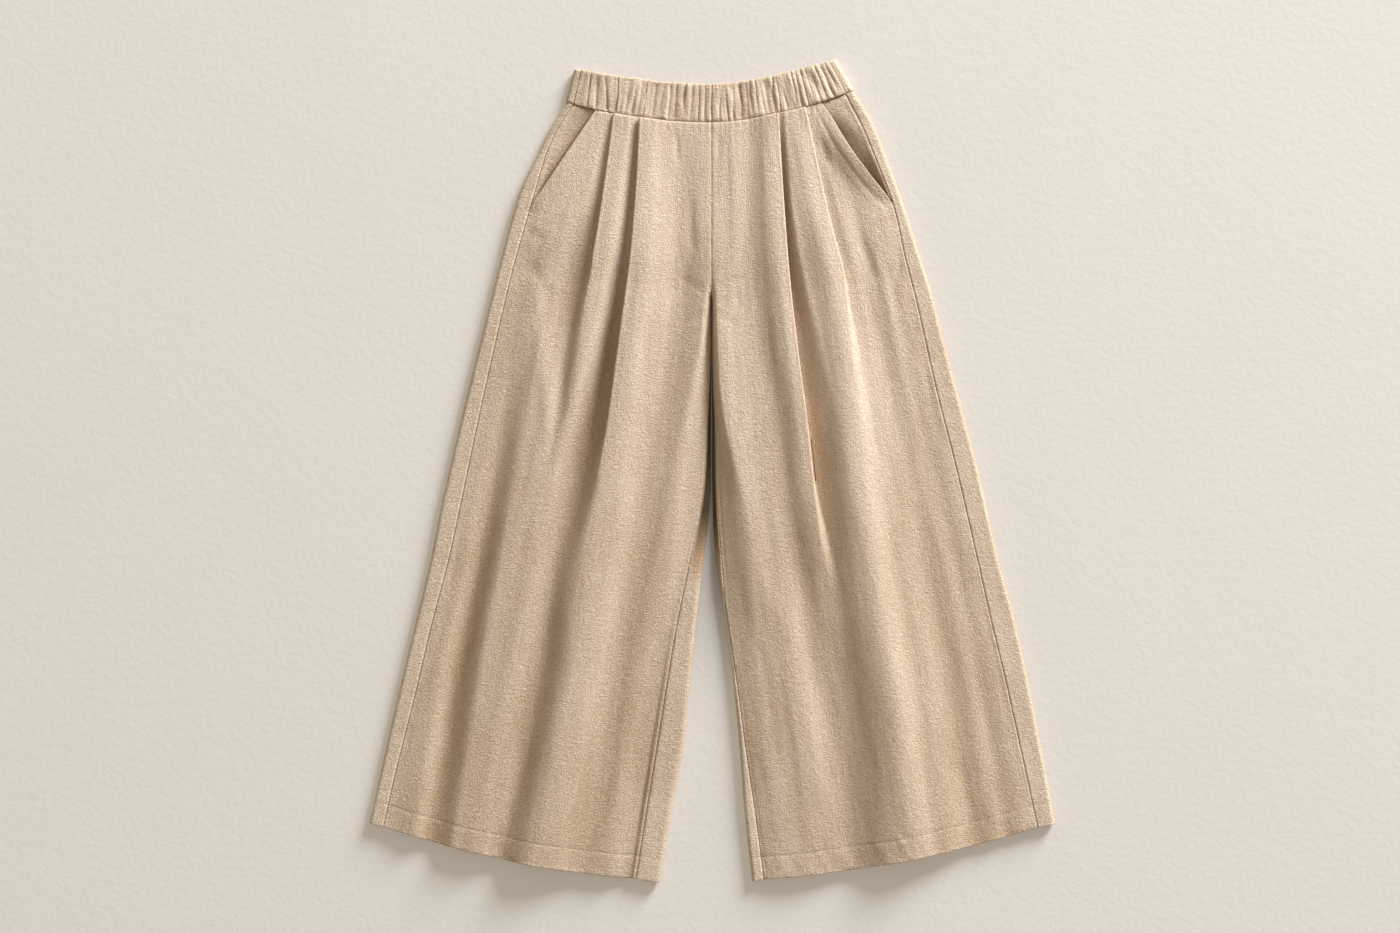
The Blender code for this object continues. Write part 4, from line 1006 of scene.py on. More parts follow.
@dataclass(frozen=True)
class LinenFinish:
    """Oatmeal linen: pale and deep yarns, slubs, soft patches and a matte brushed face.

    fleck, slub and patch are how strongly each of them shows, and relief the height of
    the yarn. The painted light and shade of the tone attribute lightens and darkens the
    colour, and where it is lower than shade_from, the colour turns to shade, a painted
    shade colour.
    """

    name: str = "linen_cloth"
    pale: Colour = (0.84, 0.71, 0.575)
    deep: Colour = (0.555, 0.402, 0.268)
    shade: Colour = (0.115, 0.083, 0.048)
    shade_from: float = -0.8
    shade_strength: float = 0.72
    fleck: float = 0.54
    slub: float = 0.16
    patch: float = 0.20
    relief: float = 0.0008

    def material(self, yarn: bpy.types.NodeTree, cloud: bpy.types.NodeTree) -> bpy.types.Material:
        """Build the cloth's material.

        Args:
            yarn: the group of flecks and slubs.
            cloud: the group of soft patches.

        Returns:
            The material.
        """
        material, nodes, shader = new_material(self.name)
        weave = nodes.add("ShaderNodeUVMap", {"uv_map": "weave"}).outputs[0]
        fan = nodes.add("ShaderNodeUVMap", {"uv_map": "fan"}).outputs[0]
        tone = nodes.add("ShaderNodeAttribute", {"attribute_name": "tone"}).outputs["Fac"]
        threads = nodes.add("ShaderNodeGroup", {"node_tree": yarn}, Weave=weave, Fan=fan)
        patches = nodes.add("ShaderNodeGroup", {"node_tree": cloud},
                            Vector=nodes.stretch(fan, (22.0, 7.0, 1.0)))
        fleck = threads.outputs["Fleck"]
        # The painted light and shade from the attribute is added to the yarn's own variation.
        value = nodes.weighted((fleck, self.fleck), (threads.outputs["Slub"], self.slub),
                               (patches.outputs["Patch"], self.patch), (tone, 1.0))
        middle = 0.5 - (self.fleck + self.slub + self.patch) / 2.0
        value = nodes.limited(nodes.math("ADD", value, middle), -0.2, 1.15)
        # Painted shade: where the attribute is lowest, mostly in the gap between the legs, the
        # colour is mixed towards the shade colour.
        depth = nodes.math("MULTIPLY", nodes.math("ADD", tone, -self.shade_from),
                           -self.shade_strength)
        colour = nodes.mix(value, self.deep, self.pale, clamp=False)
        bump = nodes.add("ShaderNodeBump", {}, Height=threads.outputs["Height"], Strength=1.0,
                         Distance=self.relief)
        rough = nodes.math("ADD", nodes.math("MULTIPLY", fleck, -0.08), 0.94)
        nodes.feed(shader, Base_Color=nodes.mix(nodes.limited(depth, 0.0, 1.0), colour, self.shade),
                   Normal=bump.outputs[0], Roughness=rough, Sheen_Weight=0.12,
                   Sheen_Roughness=0.5, Specular_IOR_Level=0.25)
        return material


@dataclass(frozen=True)
class ThreadFinish:
    """Sewing thread a shade paler than the cloth."""

    name: str = "sewing_thread"
    colour: Colour = (0.86, 0.75, 0.62)
    deepest: float = 0.82

    def material(self) -> bpy.types.Material:
        """Build the thread's material, with its twist as small changes of colour."""
        material, nodes, shader = new_material(self.name)
        place = nodes.add("ShaderNodeTexCoord").outputs["Object"]
        twist = nodes.noise(nodes.stretch(place, (900.0, 900.0, 900.0)), 2.0, 0.5)
        deep = tuple(self.deepest * part for part in self.colour)
        nodes.feed(shader, Base_Color=nodes.mix(nodes.spread(twist, 0.3, 0.7), deep, self.colour),
                   Roughness=0.7)
        return material


@dataclass(frozen=True)
class PlasterFinish:
    """A plain pale floor with a very faint grain.

    It glows a little, which lifts its shadows, but hardly between the legs: there the
    glow fades over beside, from the centre line, below, down the legs, and above, which
    the garment hides. All are in metres.
    """

    name: str = "pale_floor"
    colour: Colour = (0.582, 0.563, 0.552)
    deepest: float = 0.985
    glow: Colour = (0.210, 0.186, 0.154)
    least_glow: float = 0.05
    beside: tuple[float, float] = (0.040, 0.100)
    below: tuple[float, float] = (0.090, 0.330)
    above: tuple[float, float] = (0.300, 0.420)

    def material(self, cloud: bpy.types.NodeTree) -> bpy.types.Material:
        """Build the floor's material.

        Args:
            cloud: the group of soft patches.

        Returns:
            The material.
        """
        material, nodes, shader = new_material(self.name)
        place = nodes.add("ShaderNodeTexCoord").outputs["Object"]
        patches = nodes.add("ShaderNodeGroup", {"node_tree": cloud},
                            Vector=nodes.stretch(place, (7.0, 7.0, 7.0)))
        deep = tuple(self.deepest * part for part in self.colour)
        grain = nodes.noise(nodes.stretch(place, (130.0, 130.0, 130.0)), 5.0, 0.6)
        bump = nodes.add("ShaderNodeBump", {}, Height=grain, Strength=0.35, Distance=0.0012)
        nodes.feed(shader, Base_Color=nodes.mix(patches.outputs["Patch"], deep, self.colour),
                   Normal=bump.outputs[0], Roughness=0.95, Emission_Color=(*self.glow, 1.0),
                   Emission_Strength=self.lit(nodes, place))
        return material

    def lit(self, nodes: Nodes, place: bpy.types.NodeSocket) -> bpy.types.NodeSocket:
        """How much of the glow is left at a place."""
        spot = nodes.add("ShaderNodeSeparateXYZ", {}, Vector=place).outputs
        beside = nodes.spread(nodes.math("ABSOLUTE", spot[0]), *self.beside)
        below = nodes.spread(nodes.math("MULTIPLY", spot[1], -1.0), *self.below)
        above = nodes.spread(spot[1], *self.above)
        clear = nodes.math("MAXIMUM", nodes.math("MAXIMUM", beside, below), above)
        return nodes.math("MAXIMUM", clear, self.least_glow)


@dataclass
class Finishes:
    """Every material of the trousers, built once."""

    linen: LinenFinish = LinenFinish()
    thread: ThreadFinish = ThreadFinish()
    floor: PlasterFinish = PlasterFinish()

    def build(self) -> dict[str, bpy.types.Material]:
        """Build the materials.

        Returns:
            The materials by the name of what they dress.
        """
        yarn = yarn_group()
        cloud = cloud_group()
        return {"linen": self.linen.material(yarn, cloud), "thread": self.thread.material(),
                "floor": self.floor.material(cloud)}


@dataclass
class Panel:
    """A front or back panel of one leg, made of its cross sections."""

    leg: LegTables

    def section(self, line: CrossLine) -> dict[str, np.ndarray]:
        """The panel's cross section on a line, as each kind of panel has it."""
        raise NotImplementedError

    def rows(self) -> dict[str, np.ndarray]:
        """All cross sections, and how far their points lie below the waist and above the hem."""
        shares = down_the_leg()
        data = stacked([self.section(CrossLine(self.leg, float(share))) for share in shares])
        data["down"] = np.repeat(shares[:, None] * LEG_LENGTH, data["out"].shape[1], axis=1)
        data["to_hem"] = LEG_LENGTH - data["down"]
        return data

    def sheet(self, data: dict[str, np.ndarray], z: np.ndarray, tone: np.ndarray,
              upward: bool = True) -> ClothGrid:
        """The panel's cloth, with thinner rims and a turned-up hem.

        Args:
            data: the panel's rows.
            z: heights of the cloth's middle.
            tone: the painted light and shade that the form gives the cloth's colour.
            upward: whether its outside faces up.

        Returns:
            The grid.
        """
        thin = (rim_factor(data["to_side"]) * rim_factor(data["to_inner"])
                * rim_factor(data["down"]) * rim_factor(data["to_hem"], HEM_RIM))
        turned_up = ease((HEM_DEPTH + HEM_STEP / 2.0 - data["to_hem"]) / HEM_STEP)
        half = CLOTH / 2.0 * thin
        return ClothGrid(self.leg.sign, data["out"], data["y"], z, half,
                         half + HEM_EXTRA * turned_up * thin, data["fan"], tone, upward)


@dataclass
class FrontPanel(Panel):
    """A front, from its side seam or pocket edge over two pleats to its centre seam.

    Its waves begin wave_inland from a seam and wave_down from the waist, at wave_share of
    their height, which they reach wave_full down. Creases begin crease_inland from a seam.
    painted_relief_shading is how much the relief paints light and shade into the colour, and
    between what limits, sunk_limits the limits of how far the cloth counts as sunk, for the painted
    shade in hollows and paler raised folds, and painted_leg_shading the painted light at the waist
    and painted shade at the hem.
    """

    side_columns: int = 42
    panel_columns: int = 26
    centre_columns: int = 56
    roll_columns: int = 14
    wave_inland: float = 22.0
    wave_down: float = 30.0
    wave_share: float = 0.75
    wave_full: float = 300.0
    crease_inland: float = 8.0
    painted_relief_shading: tuple[float, float, float] = (0.09, -0.14, 0.12)
    sunk_limits: tuple[float, float] = (-13.0, 4.0)
    painted_leg_shading: tuple[float, float] = (0.03, -0.22)

    def section(self, line: CrossLine) -> dict[str, np.ndarray]:
        """The front's cross section on a line.

        Args:
            line: the cross line.

        Returns:
            For its points, from the side inwards: distances out, places down the garment,
            heights, distances to the seams, how far they are sunk, and whether the edge
            is a pocket's open one.
        """
        seam_edge = line.seam - SEAM_GAP / 2.0
        boundary, gape = seam_edge, 0.0
        if line.share < POCKET_END:
            boundary = min(seam_edge, line.slant())
            gape = number(follow(self.leg.slant, line.y(boundary), 2)) * line.pocket
        cover = 1.0 - number(ease((line.share - COVER_FADE[0]) / (COVER_FADE[1] - COVER_FADE[0])))
        outer, inner = line.pleats()

        def base(out: np.ndarray) -> np.ndarray:
            """The cloth without its pleats."""
            inside = boundary - out
            covered = cover * blend(ease(inside / COVER_EASE), 1.0, line.pocket)
            open_edge = gape * (1.0 - ease(inside / GAPE_REACH))
            return TOP_OF_ROLL + POCKET_LIFT * covered + open_edge + line.loft(out, boundary)

        def between(out: np.ndarray) -> np.ndarray:
            """The cloth between the pleats."""
            return base(out) + outer.rise(out)

        def centre(out: np.ndarray) -> np.ndarray:
            """The cloth inside the inner pleat."""
            return between(out) + inner.rise(out)

        outer_points, inner_points = outer.points(), inner.points()
        outer_out = outer.fold - outer_points[:, 0]
        inner_out = inner.fold - inner_points[:, 0]
        side_out = edge_columns(boundary, outer_out[0], self.side_columns)
        panel_out = np.linspace(outer_out[-1], inner_out[0], self.panel_columns + 1)[1:-1]
        start = seam_distance(line.inner_seam - line.inner_edge) + SEAM_GAP / 2.0
        share = (1.0 - np.arange(self.roll_columns) / (self.roll_columns - 1)) ** 1.4
        roll_out, roll_height = rolled(line.inner_edge, start + FRONT_ROLL_REACH * share, 1.0)
        roll_out = blend(line.inner_edge + FRONT_ROLL_REACH * share, roll_out, line.turned)
        centre_out = np.linspace(inner_out[-1], roll_out[0], self.centre_columns + 1)[1:-1]
        rest = blend(TOP_OF_ROLL, roll_height, line.turned)
        roll_z = rest + (centre(roll_out) - TOP_OF_ROLL) * blend(1.0, ease(share), line.turned)

        out = np.concatenate([side_out, outer_out, panel_out, inner_out, centre_out, roll_out])
        y = line.y(out)
        before_inner = len(side_out) + len(outer_out) + len(panel_out)
        sunk = (outer.hollow(out, y) * outer.lowest(outer_points[:, 1], len(side_out), len(out))
                + inner.hollow(out, y) * inner.lowest(inner_points[:, 1], before_inner, len(out)))
        z = sunk + np.concatenate([
            base(side_out), base(outer_out) + outer_points[:, 1], between(panel_out),
            between(inner_out) + inner_points[:, 1], centre(centre_out), roll_z])
        sunk = sunk * HOLLOW_SHARE
        for rise in line.folds(out, y):
            sunk = sunk + rise
        opened = 1.0 if boundary < seam_edge - 0.5 else 0.0
        return {"out": out, "y": y, "z": np.maximum(z, LOWEST_FRONT), "fan": line.fan(out),
                "to_side": np.abs(boundary - out), "to_inner": np.abs(out - out[-1]),
                "sunk": sunk, "open": np.full(len(out), opened)}

    def grid(self) -> ClothGrid:
        """The middle of the front's cloth with its relief."""
        data = self.rows()
        leg, out, y, down = self.leg, data["out"], data["y"], data["down"]
        seams = np.minimum(data["to_side"], data["to_inner"])
        inland = ease(seams / self.wave_inland) * ease(down / self.wave_down)
        relief = noise_sum(WAVES, data["fan"], y, leg.seed) * inland
        relief = relief * blend(self.wave_share, 1.0, ease(down / self.wave_full))
        for crease in leg.creases:
            relief = relief + crease.height(out, y) * ease(seams / self.crease_inland)
        relief = relief + seam_relief(data["to_side"], y, leg.seed) * (1.0 - data["open"])
        relief = relief + seam_relief(data["to_inner"], y, leg.seed + 2.0) * INSEAM_SHARE
        relief = relief + waist_puffs(leg, out, down)
        relief = relief + hem_puckers(data["fan"], data["to_hem"], leg.seed)
        # Painted light and shade: the relief's dips darker and its bumps paler, hollows darker and
        # raised folds paler, lighter at the waist and darker towards the hem.
        strength, least, most = self.painted_relief_shading
        tone = np.clip(relief * strength, least, most)
        tone = tone + np.clip(data["sunk"], *self.sunk_limits) * PAINTED_FOLD_SHADING
        tone = tone + blend(*self.painted_leg_shading, ease(down / LEG_LENGTH))
        return self.sheet(data, data["z"] + relief, tone)


def waist_puffs(leg: LegTables, out: np.ndarray, down: np.ndarray) -> np.ndarray:
    """Small puffs below the waist seam, under the waistband's gathers.

    Args:
        leg: the half of the trousers.
        out: distances from the centre line.
        down: distances below the waist seam.

    Returns:
        Heights to add.
    """
    stops = np.array([0.0] + [gather[0] for gather in leg.gathers] + [170.0])
    index = np.clip(np.searchsorted(stops, out) - 1, 0, len(stops) - 2)
    share = (out - stops[index]) / (stops[index + 1] - stops[index])
    crest = np.sin(math.pi * np.clip(share, 0.0, 1.0))
    puffs = (crest - 0.35) * WAIST_PUFF * np.exp(-down / WAIST_PUFF_REACH) * ease(down / 3.0)
    return groove(down, WAIST_GROOVE) + puffs


def hem_puckers(fan: np.ndarray, to_hem: np.ndarray, seed: float) -> np.ndarray:
    """Ripples of a stitched hem: a groove along the stitches and slanting puckers below.

    Args:
        fan: distance across.
        to_hem: distance up from the hem's edge.
        seed: a number that sets the puckers.

    Returns:
        Heights to add.
    """
    leaning = fan + (to_hem - HEM_DEPTH) * HEM_LEAN
    ripple = noise_sum(HEM_PUCKERS, leaning, fan * 0.0, seed)
    inside = ease(to_hem / 4.0) * ease((HEM_DEPTH + 9.0 - to_hem) / 14.0)
    return ripple * inside * HEM_RIPPLE + groove(to_hem - HEM_DEPTH, HEM_GROOVE)


@dataclass
class BackPanel(Panel):
    """A back: flat below, with its two edges rolled up and over to the seams.

    Its upper side begins at top_from and counts in full top_rise higher. Points that run
    less than halfway from the side belong to the side's roll, and the inseam's puckers
    begin clear of it, at inner_from. lip_at and lip_width place the lip along the side
    seam, which is lip_height high and painted_lip_highlight paler, a painted highlight on its
    ridge.
    """

    strip_columns: int = 16
    roll_columns: int = 16
    flat_columns: int = 52
    flat_from: float = 8.0
    flat_ease: float = 30.0
    lift_share: float = 0.8
    hem_share: float = 0.6
    top_from: float = 6.0
    top_rise: float = 3.0
    halfway: float = 60.0
    inner_from: float = 40.0
    lip_at: float = 1.7
    lip_width: float = 0.9
    lip_height: float = 0.2
    painted_lip_highlight: float = 0.13

    def section(self, line: CrossLine) -> dict[str, np.ndarray]:
        """The back's cross section on a line.

        Args:
            line: the cross line.

        Returns:
            For its points, from the side inwards: distances out, places down the garment,
            heights, distances to the seams, and how flat they lie.
        """
        side_end = seam_distance(line.edge - line.seam) - SEAM_GAP / 2.0
        squeeze = min(1.0, (side_end - QUARTER_ROLL) / SEAM_REACH)
        strip = edge_columns(side_end, QUARTER_ROLL, self.strip_columns, squeeze)
        roll = np.linspace(QUARTER_ROLL, -QUARTER_ROLL, self.roll_columns + 1)
        out_side, z_side = rolled(line.edge, np.concatenate([strip, roll]), -1.0)
        inner_end = seam_distance(line.inner_seam - line.inner_edge) - SEAM_GAP / 2.0
        share = np.linspace(0.0, 1.0, self.roll_columns + 1)
        out_in, z_in = rolled(line.inner_edge, blend(-QUARTER_ROLL - 2.0, inner_end, share), 1.0)
        out_in = blend(line.inner_edge + QUARTER_ROLL * (1.0 - share), out_in, line.turned)
        z_in = blend(CLOTH / 2.0, z_in, line.turned)
        out_flat = np.linspace(out_side[-1], out_in[0], self.flat_columns + 1)[1:-1]
        out = np.concatenate([out_side, out_flat, out_in])
        z = np.concatenate([z_side, np.full(len(out_flat), CLOTH / 2.0), z_in])
        run = np.concatenate([[0.0], np.cumsum(np.hypot(np.diff(out), np.diff(z)))])
        flat = (ease((line.edge - self.flat_from - out) / self.flat_ease)
                * ease((out - line.inner_edge - self.flat_from) / self.flat_ease))
        return {"out": out, "y": line.y(out), "z": z, "flat": flat * (z < 1.0), "to_side": run,
                "to_inner": run[-1] - run, "fan": BACK_FAN_START - line.fan(out)}

    def grid(self) -> ClothGrid:
        """The middle of the back's cloth with its relief."""
        data = self.rows()
        leg, out, y, z, fan = self.leg, data["out"], data["y"], data["z"], data["fan"]
        to_side, to_inner, to_hem = data["to_side"], data["to_inner"], data["to_hem"]
        top = ease((z - self.top_from) / self.top_rise)
        lift = np.maximum(noise_sum(WAVES, fan, y, leg.seed + 50.0), 0.0) * self.lift_share
        for crease in leg.back_creases:
            lift = lift + np.maximum(-crease.height(out, y), 0.0)
        lift = HIGHEST_BACK * np.tanh(lift / HIGHEST_BACK)
        relief = lift * data["flat"] * ease(data["down"] / 25.0) * ease(to_hem / 30.0)
        relief = relief + seam_relief(to_side, y, leg.seed) * top
        inner_top = top * ease((to_side - self.inner_from) / 10.0)
        relief = relief + seam_relief(to_inner, y, leg.seed + 2.0) * INSEAM_SHARE * inner_top
        relief = relief + hem_puckers(fan, to_hem, leg.seed) * top * self.hem_share
        lip = np.exp(-((to_side - self.lip_at) / self.lip_width) ** 2) * top
        z = z + relief + self.lip_height * lip
        # Painted light and shade at the rolled edges: the walls facing away from the lamp are
        # painted paler, as bounce light, and the low walls facing it darker; the relief's dips are
        # darker and its bumps paler.
        facing_away = (to_side < self.halfway) == (leg.side_of is Side.RIGHT)
        in_the_gap = (to_side > self.halfway) & (y > GAP_FOOT)
        lit = np.where(facing_away & ~in_the_gap, PAINTED_EDGE_SHADING, -PAINTED_EDGE_SHADING)
        # The lip along the side seam is painted paler, as a highlight on its ridge.
        tone = np.clip(relief * PAINTED_RELIEF_SHADING, -0.1, 0.1) + self.painted_lip_highlight * lip
        tone = tone + lit * (1.0 - ease((z - 3.0) / 6.0))
        # Painted shade in the gap between the legs, on the inner roll, which is also sunk lower
        # there.
        gap = ease((y - GAP_FOOT) / GAP_FADE) * (1.0 - ease((to_inner - GAP_REACH) / 8.0))
        tone = tone - GAP_SHADE * gap * ease(to_inner / 2.0)
        z = z - (z - CLOTH / 2.0) * GAP_SINK * gap * ease(to_inner / 3.0)
        return self.sheet(data, z, tone, upward=False)


@dataclass
class HipPiece:
    """The facing behind a slanted pocket, from the side seam inwards.

    It sinks by sink beside the seam, over inland, and by dent under the pocket's edge,
    within reach of it. The dent, which is painted darker, and the painted shade along the
    open mouth each have a top and a bottom, as (height on the garment, distance over which
    they fade there).
    """

    leg: LegTables
    dent: float
    reach: float = 24.0
    columns: int = 40
    rows: int = 44
    sink: float = 0.9
    inland: float = 7.0
    dent_top: tuple[float, float] = (446.0, 40.0)
    dent_foot: tuple[float, float] = (322.0, 24.0)
    mouth_top: tuple[float, float] = (452.0, 8.0)
    mouth_foot: tuple[float, float] = (316.0, 12.0)

    def section(self, line: CrossLine) -> dict[str, np.ndarray]:
        """The hip piece's cross section on a line.

        Args:
            line: the cross line.

        Returns:
            For its points, from the side inwards: distances out, places down the garment,
            heights, distances to the side seam and below the waist, and the painted shade.
        """
        start, slant = line.seam - SEAM_GAP / 2.0, line.slant()
        out = edge_columns(start, slant - POCKET_UNDERLAP, self.columns)
        y = line.y(out)
        near = 1.0 - ease(np.abs(out - slant + 3.0) / self.reach)
        dented = self.within(y, self.dent_top, self.dent_foot)
        open_mouth = self.within(y, self.mouth_top, self.mouth_foot)
        inland = ease((start - out) / self.inland)
        z = TOP_OF_ROLL - self.sink * inland * ease(line.share / 0.02)
        # Painted shade: darker in the dent under the pocket's edge and along its open mouth.
        shade = (-0.60 * (1.0 - ease((out - slant) / 13.0)) * dented
                 - 0.70 * (1.0 - ease((out - slant) / 5.0)) * open_mouth)
        return {"out": out, "y": y, "z": z - self.dent * near * dented * inland,
                "fan": line.fan(out), "to_side": start - out, "shade": shade,
                "down": np.full(len(out), line.share * LEG_LENGTH)}

    @staticmethod
    def within(y: np.ndarray, top: tuple[float, float], foot: tuple[float, float]) -> np.ndarray:
        """How far points lie between a top and a foot, each with the distance of its fade."""
        return ease((top[0] - y) / top[1]) * ease((y - foot[0]) / foot[1])

    def grid(self) -> ClothGrid:
        """The middle of the hip piece's cloth with its relief."""
        data = stacked([self.section(CrossLine(self.leg, float(share)))
                        for share in np.linspace(0.0, POCKET_END - 0.009, self.rows)])
        out, y, to_side, down = data["out"], data["y"], data["to_side"], data["down"]
        waves = noise_sum(WAVES, data["fan"], y, self.leg.seed + 9.0) * 0.5 * ease(to_side / 9.0)
        relief = seam_relief(to_side, y, self.leg.seed) + waves
        relief = np.minimum(relief + waist_puffs(self.leg, out, down) * 0.4, 0.25)
        half = CLOTH / 2.0 * (rim_factor(to_side) * rim_factor(down))
        # The relief's dips are painted darker and its bumps paler.
        return ClothGrid(self.leg.sign, out, y, data["z"] + relief, half, half, data["fan"],
                         np.clip(relief * PAINTED_RELIEF_SHADING, -0.1, 0.1) + data["shade"])


def band_plan(at: np.ndarray, height: np.ndarray) -> tuple[np.ndarray, np.ndarray]:
    """Points of the waistband in plan.

    Args:
        at: their X on the waist seam.
        height: shares of the way up the band.

    Returns:
        X and Y.
    """
    seam_y = follow(BAND, at, 1)
    top_x = follow(BAND, at, 2)
    top_y = follow(BAND, at, 3)
    return blend(at, top_x, height), blend(seam_y + SEAM_GAP, top_y, height)


@dataclass
class WaistbandFront:
    """Half of the gathered front of the elasticated waistband."""

    leg: LegTables
    finish: float
    gather_depth: float = 2.6
    columns: int = 250
    rows: int = 40

    def gathered(self, at: np.ndarray, share: float) -> np.ndarray:
        """The height of the gathered cloth on one level of the band.

        Args:
            at: distances out, measured on the waist seam.
            share: how far up the band the level lies.

        Returns:
            Heights over the flat band.
        """
        seed = self.leg.seed
        height = 0.62 * lattice_noise(at / 12.0, at * 0.0 + share * 1.6, seed + 8.0)
        small = lattice_noise(at / 3.4 + share, share * 2.4 + at * 0.03, seed + 9.0)
        height = height + 0.20 * small
        for index, (place, depth, lean) in enumerate(self.leg.gathers):
            kind, spread, sway = (number(lattice_noise(index * step, 0.5, seed + step))
                                  for step in (1.7, 2.9, 4.3))
            wander = number(lattice_noise(index * 3.1, share * 1.9, seed))
            middle = place + lean * (0.5 - share) + 1.1 * wander + 1.2 * sway * (share - 0.5)
            strength = 0.62 + 2.0 * kind * (share - 0.5) + 0.3 * wander + 0.4 * sway
            strength = float(np.clip(strength, 0.0, 1.25))
            width = 3.2 + 2.2 * spread - 1.3 * (depth > CRISP_GATHER)
            side = np.clip(1.0 - np.abs(at - middle) / width, 0.0, 1.0)
            lip = np.exp(-((at - middle + 1.5 * width) / (0.9 * width)) ** 2)
            height = height + depth * strength * (0.24 * lip - 0.82 * side ** 1.3)
        return height

    def level(self, at: np.ndarray, share: float) -> dict[str, np.ndarray]:
        """One level of the band's gathered wall.

        Args:
            at: distances out, measured on the waist seam.
            share: how far up the band the level lies.

        Returns:
            For its points: where they lie, how far the outer face is lifted, and their painted
                light and shade.
        """
        seam = np.minimum(at - at[0], at[-1] - at)
        gathers = self.gathered(at, share) * ease(seam / 2.2)
        x, y = band_plan(self.leg.sign * at, np.full(at.shape, share))
        ends = ease(share / 0.10) * ease((1.0 - share) / 0.14)
        lift = 1.1 + self.gather_depth * gathers * blend(0.34, 1.0, ends)
        lift = lift - 0.7 * np.exp(-(seam / 1.1) ** 2)
        close = -0.8 * np.exp(-(share / 0.03) ** 2)
        round_top = np.clip((share - 0.95) / 0.05, 0.0, 1.0)
        over = -2.0 * (1.0 - np.sqrt(np.maximum(1.0 - 0.96 * round_top ** 2, 0.0)))
        droop = (BAND_FRONT_Z - TOP_OF_ROLL) * ease((at - abs(BAND[0][0]) + 40.0) / 30.0)
        # Painted light and shade: troughs of the gathers darker and crests paler, painted shade
        # over the rounded top edge, and darker along the band's two ends.
        tone = (np.clip(gathers * 0.24, -0.36, 0.12) - 0.12 * np.exp(-(seam / 0.8) ** 2)
                - 0.35 * ease((share - 0.92) / 0.08))
        y = y + np.clip(gathers, -0.8, 0.8) * 1.3 * ease((share - 0.8) / 0.2)
        return {"out": self.leg.sign * x, "y": y, "z": BAND_FRONT_Z - droop,
                "lift": lift + close + over, "tone": tone}

    def grid(self) -> ClothGrid:
        """The middle of the band's wall with its gathers."""
        up = np.unique(np.concatenate([np.linspace(0.0, 1.0, self.rows),
                                       [0.008, 0.018, 0.97, 0.98, 0.99, 0.996]]))
        at = np.linspace(SEAM_GAP / 2.0, self.finish, self.columns)
        levels = stacked([self.level(at, float(share)) for share in up])
        out, y, z, lift, tone = (values[::-1, ::-1] for values in levels.values())
        outer = np.maximum(BAND_WALL / 2.0 + lift, 0.5 - BAND_WALL / 2.0)
        half = (outer + BAND_WALL / 2.0) / 2.0
        return ClothGrid(self.leg.sign, out, y, z + (outer - BAND_WALL / 2.0) / 2.0, half, half,
                         out * 1.3 + 1000.0, tone)


@dataclass
class WaistbandBack:
    """The waistband's back: flat below, rolled up and over at both ends."""

    columns: int = 300
    rows: int = 22
    gather_depth: float = 1.1

    def profile(self) -> tuple[np.ndarray, np.ndarray]:
        """The band's section from end to end: X on the waist seam, and heights."""
        radius = (TOP_OF_ROLL - BAND_WALL / 2.0) / 2.0
        middle = BAND_WALL / 2.0 + radius
        angle = math.pi / 2.0 - math.pi * np.arange(19) / 18.0
        halves = []
        for reach in (abs(BAND[0][0]), BAND[-1][0]):
            over = reach - np.linspace(BAND_SIDE_JOIN, radius, 7)[:-1]
            bend = reach - radius + radius * np.cos(angle)
            flat = np.linspace(reach - radius, 0.0, self.columns // 2)[1:]
            height = np.concatenate([np.full(len(over), middle + radius),
                                     middle + radius * np.sin(angle),
                                     np.full(len(flat), BAND_WALL / 2.0)])
            halves.append((np.concatenate([over, bend, flat]), height))
        (right_at, right_z), (left_at, left_z) = halves
        return (np.concatenate([-right_at, left_at[::-1][1:]]),
                np.concatenate([right_z, left_z[::-1][1:]]))

    def level(self, at: np.ndarray, run: np.ndarray, share: float) -> dict[str, np.ndarray]:
        """One level of the band's wall.

        Args:
            at: X on the waist seam.
            run: distances along the wall.
            share: how far up the band the level lies.

        Returns:
            For its points: X, Y and how far the gathers dip.
        """
        x, y = band_plan(at, np.full(at.shape, share))
        gather = lattice_noise(run / 4.6 + share * 0.4, run * 0.0 + share * 1.5, 17.0)
        ends = blend(0.5, 1.0, number(ease(share / 0.15) * ease((1.0 - share) / 0.15)))
        return {"out": x, "y": y,
                "dip": np.maximum(gather * 0.6 + 0.35, 0.0) * self.gather_depth * ends}

    def grid(self) -> ClothGrid:
        """The middle of the band's wall with shallow gathers on its outside."""
        at, z = self.profile()
        run = np.concatenate([[0.0], np.cumsum(np.hypot(np.diff(at), np.diff(z)))])
        up = np.linspace(1.0, 0.0, self.rows)
        levels = stacked([self.level(at, run, float(share)) for share in up])
        dip = levels["dip"]
        thin = rim_factor(np.minimum(run, run[-1] - run), 1.0)
        edge = rim_factor(np.minimum(up, 1.0 - up) * 44.0, 1.2)[:, None]
        whole = np.ones(dip.shape)
        # The gathers' dips are painted slightly darker, as shade.
        return ClothGrid(1.0, levels["out"], levels["y"], whole * z,
                         (BAND_WALL / 2.0 - dip) * thin * edge, BAND_WALL / 2.0 * thin * edge,
                         whole * (run + 2000.0), -dip * 0.06, upward=False)


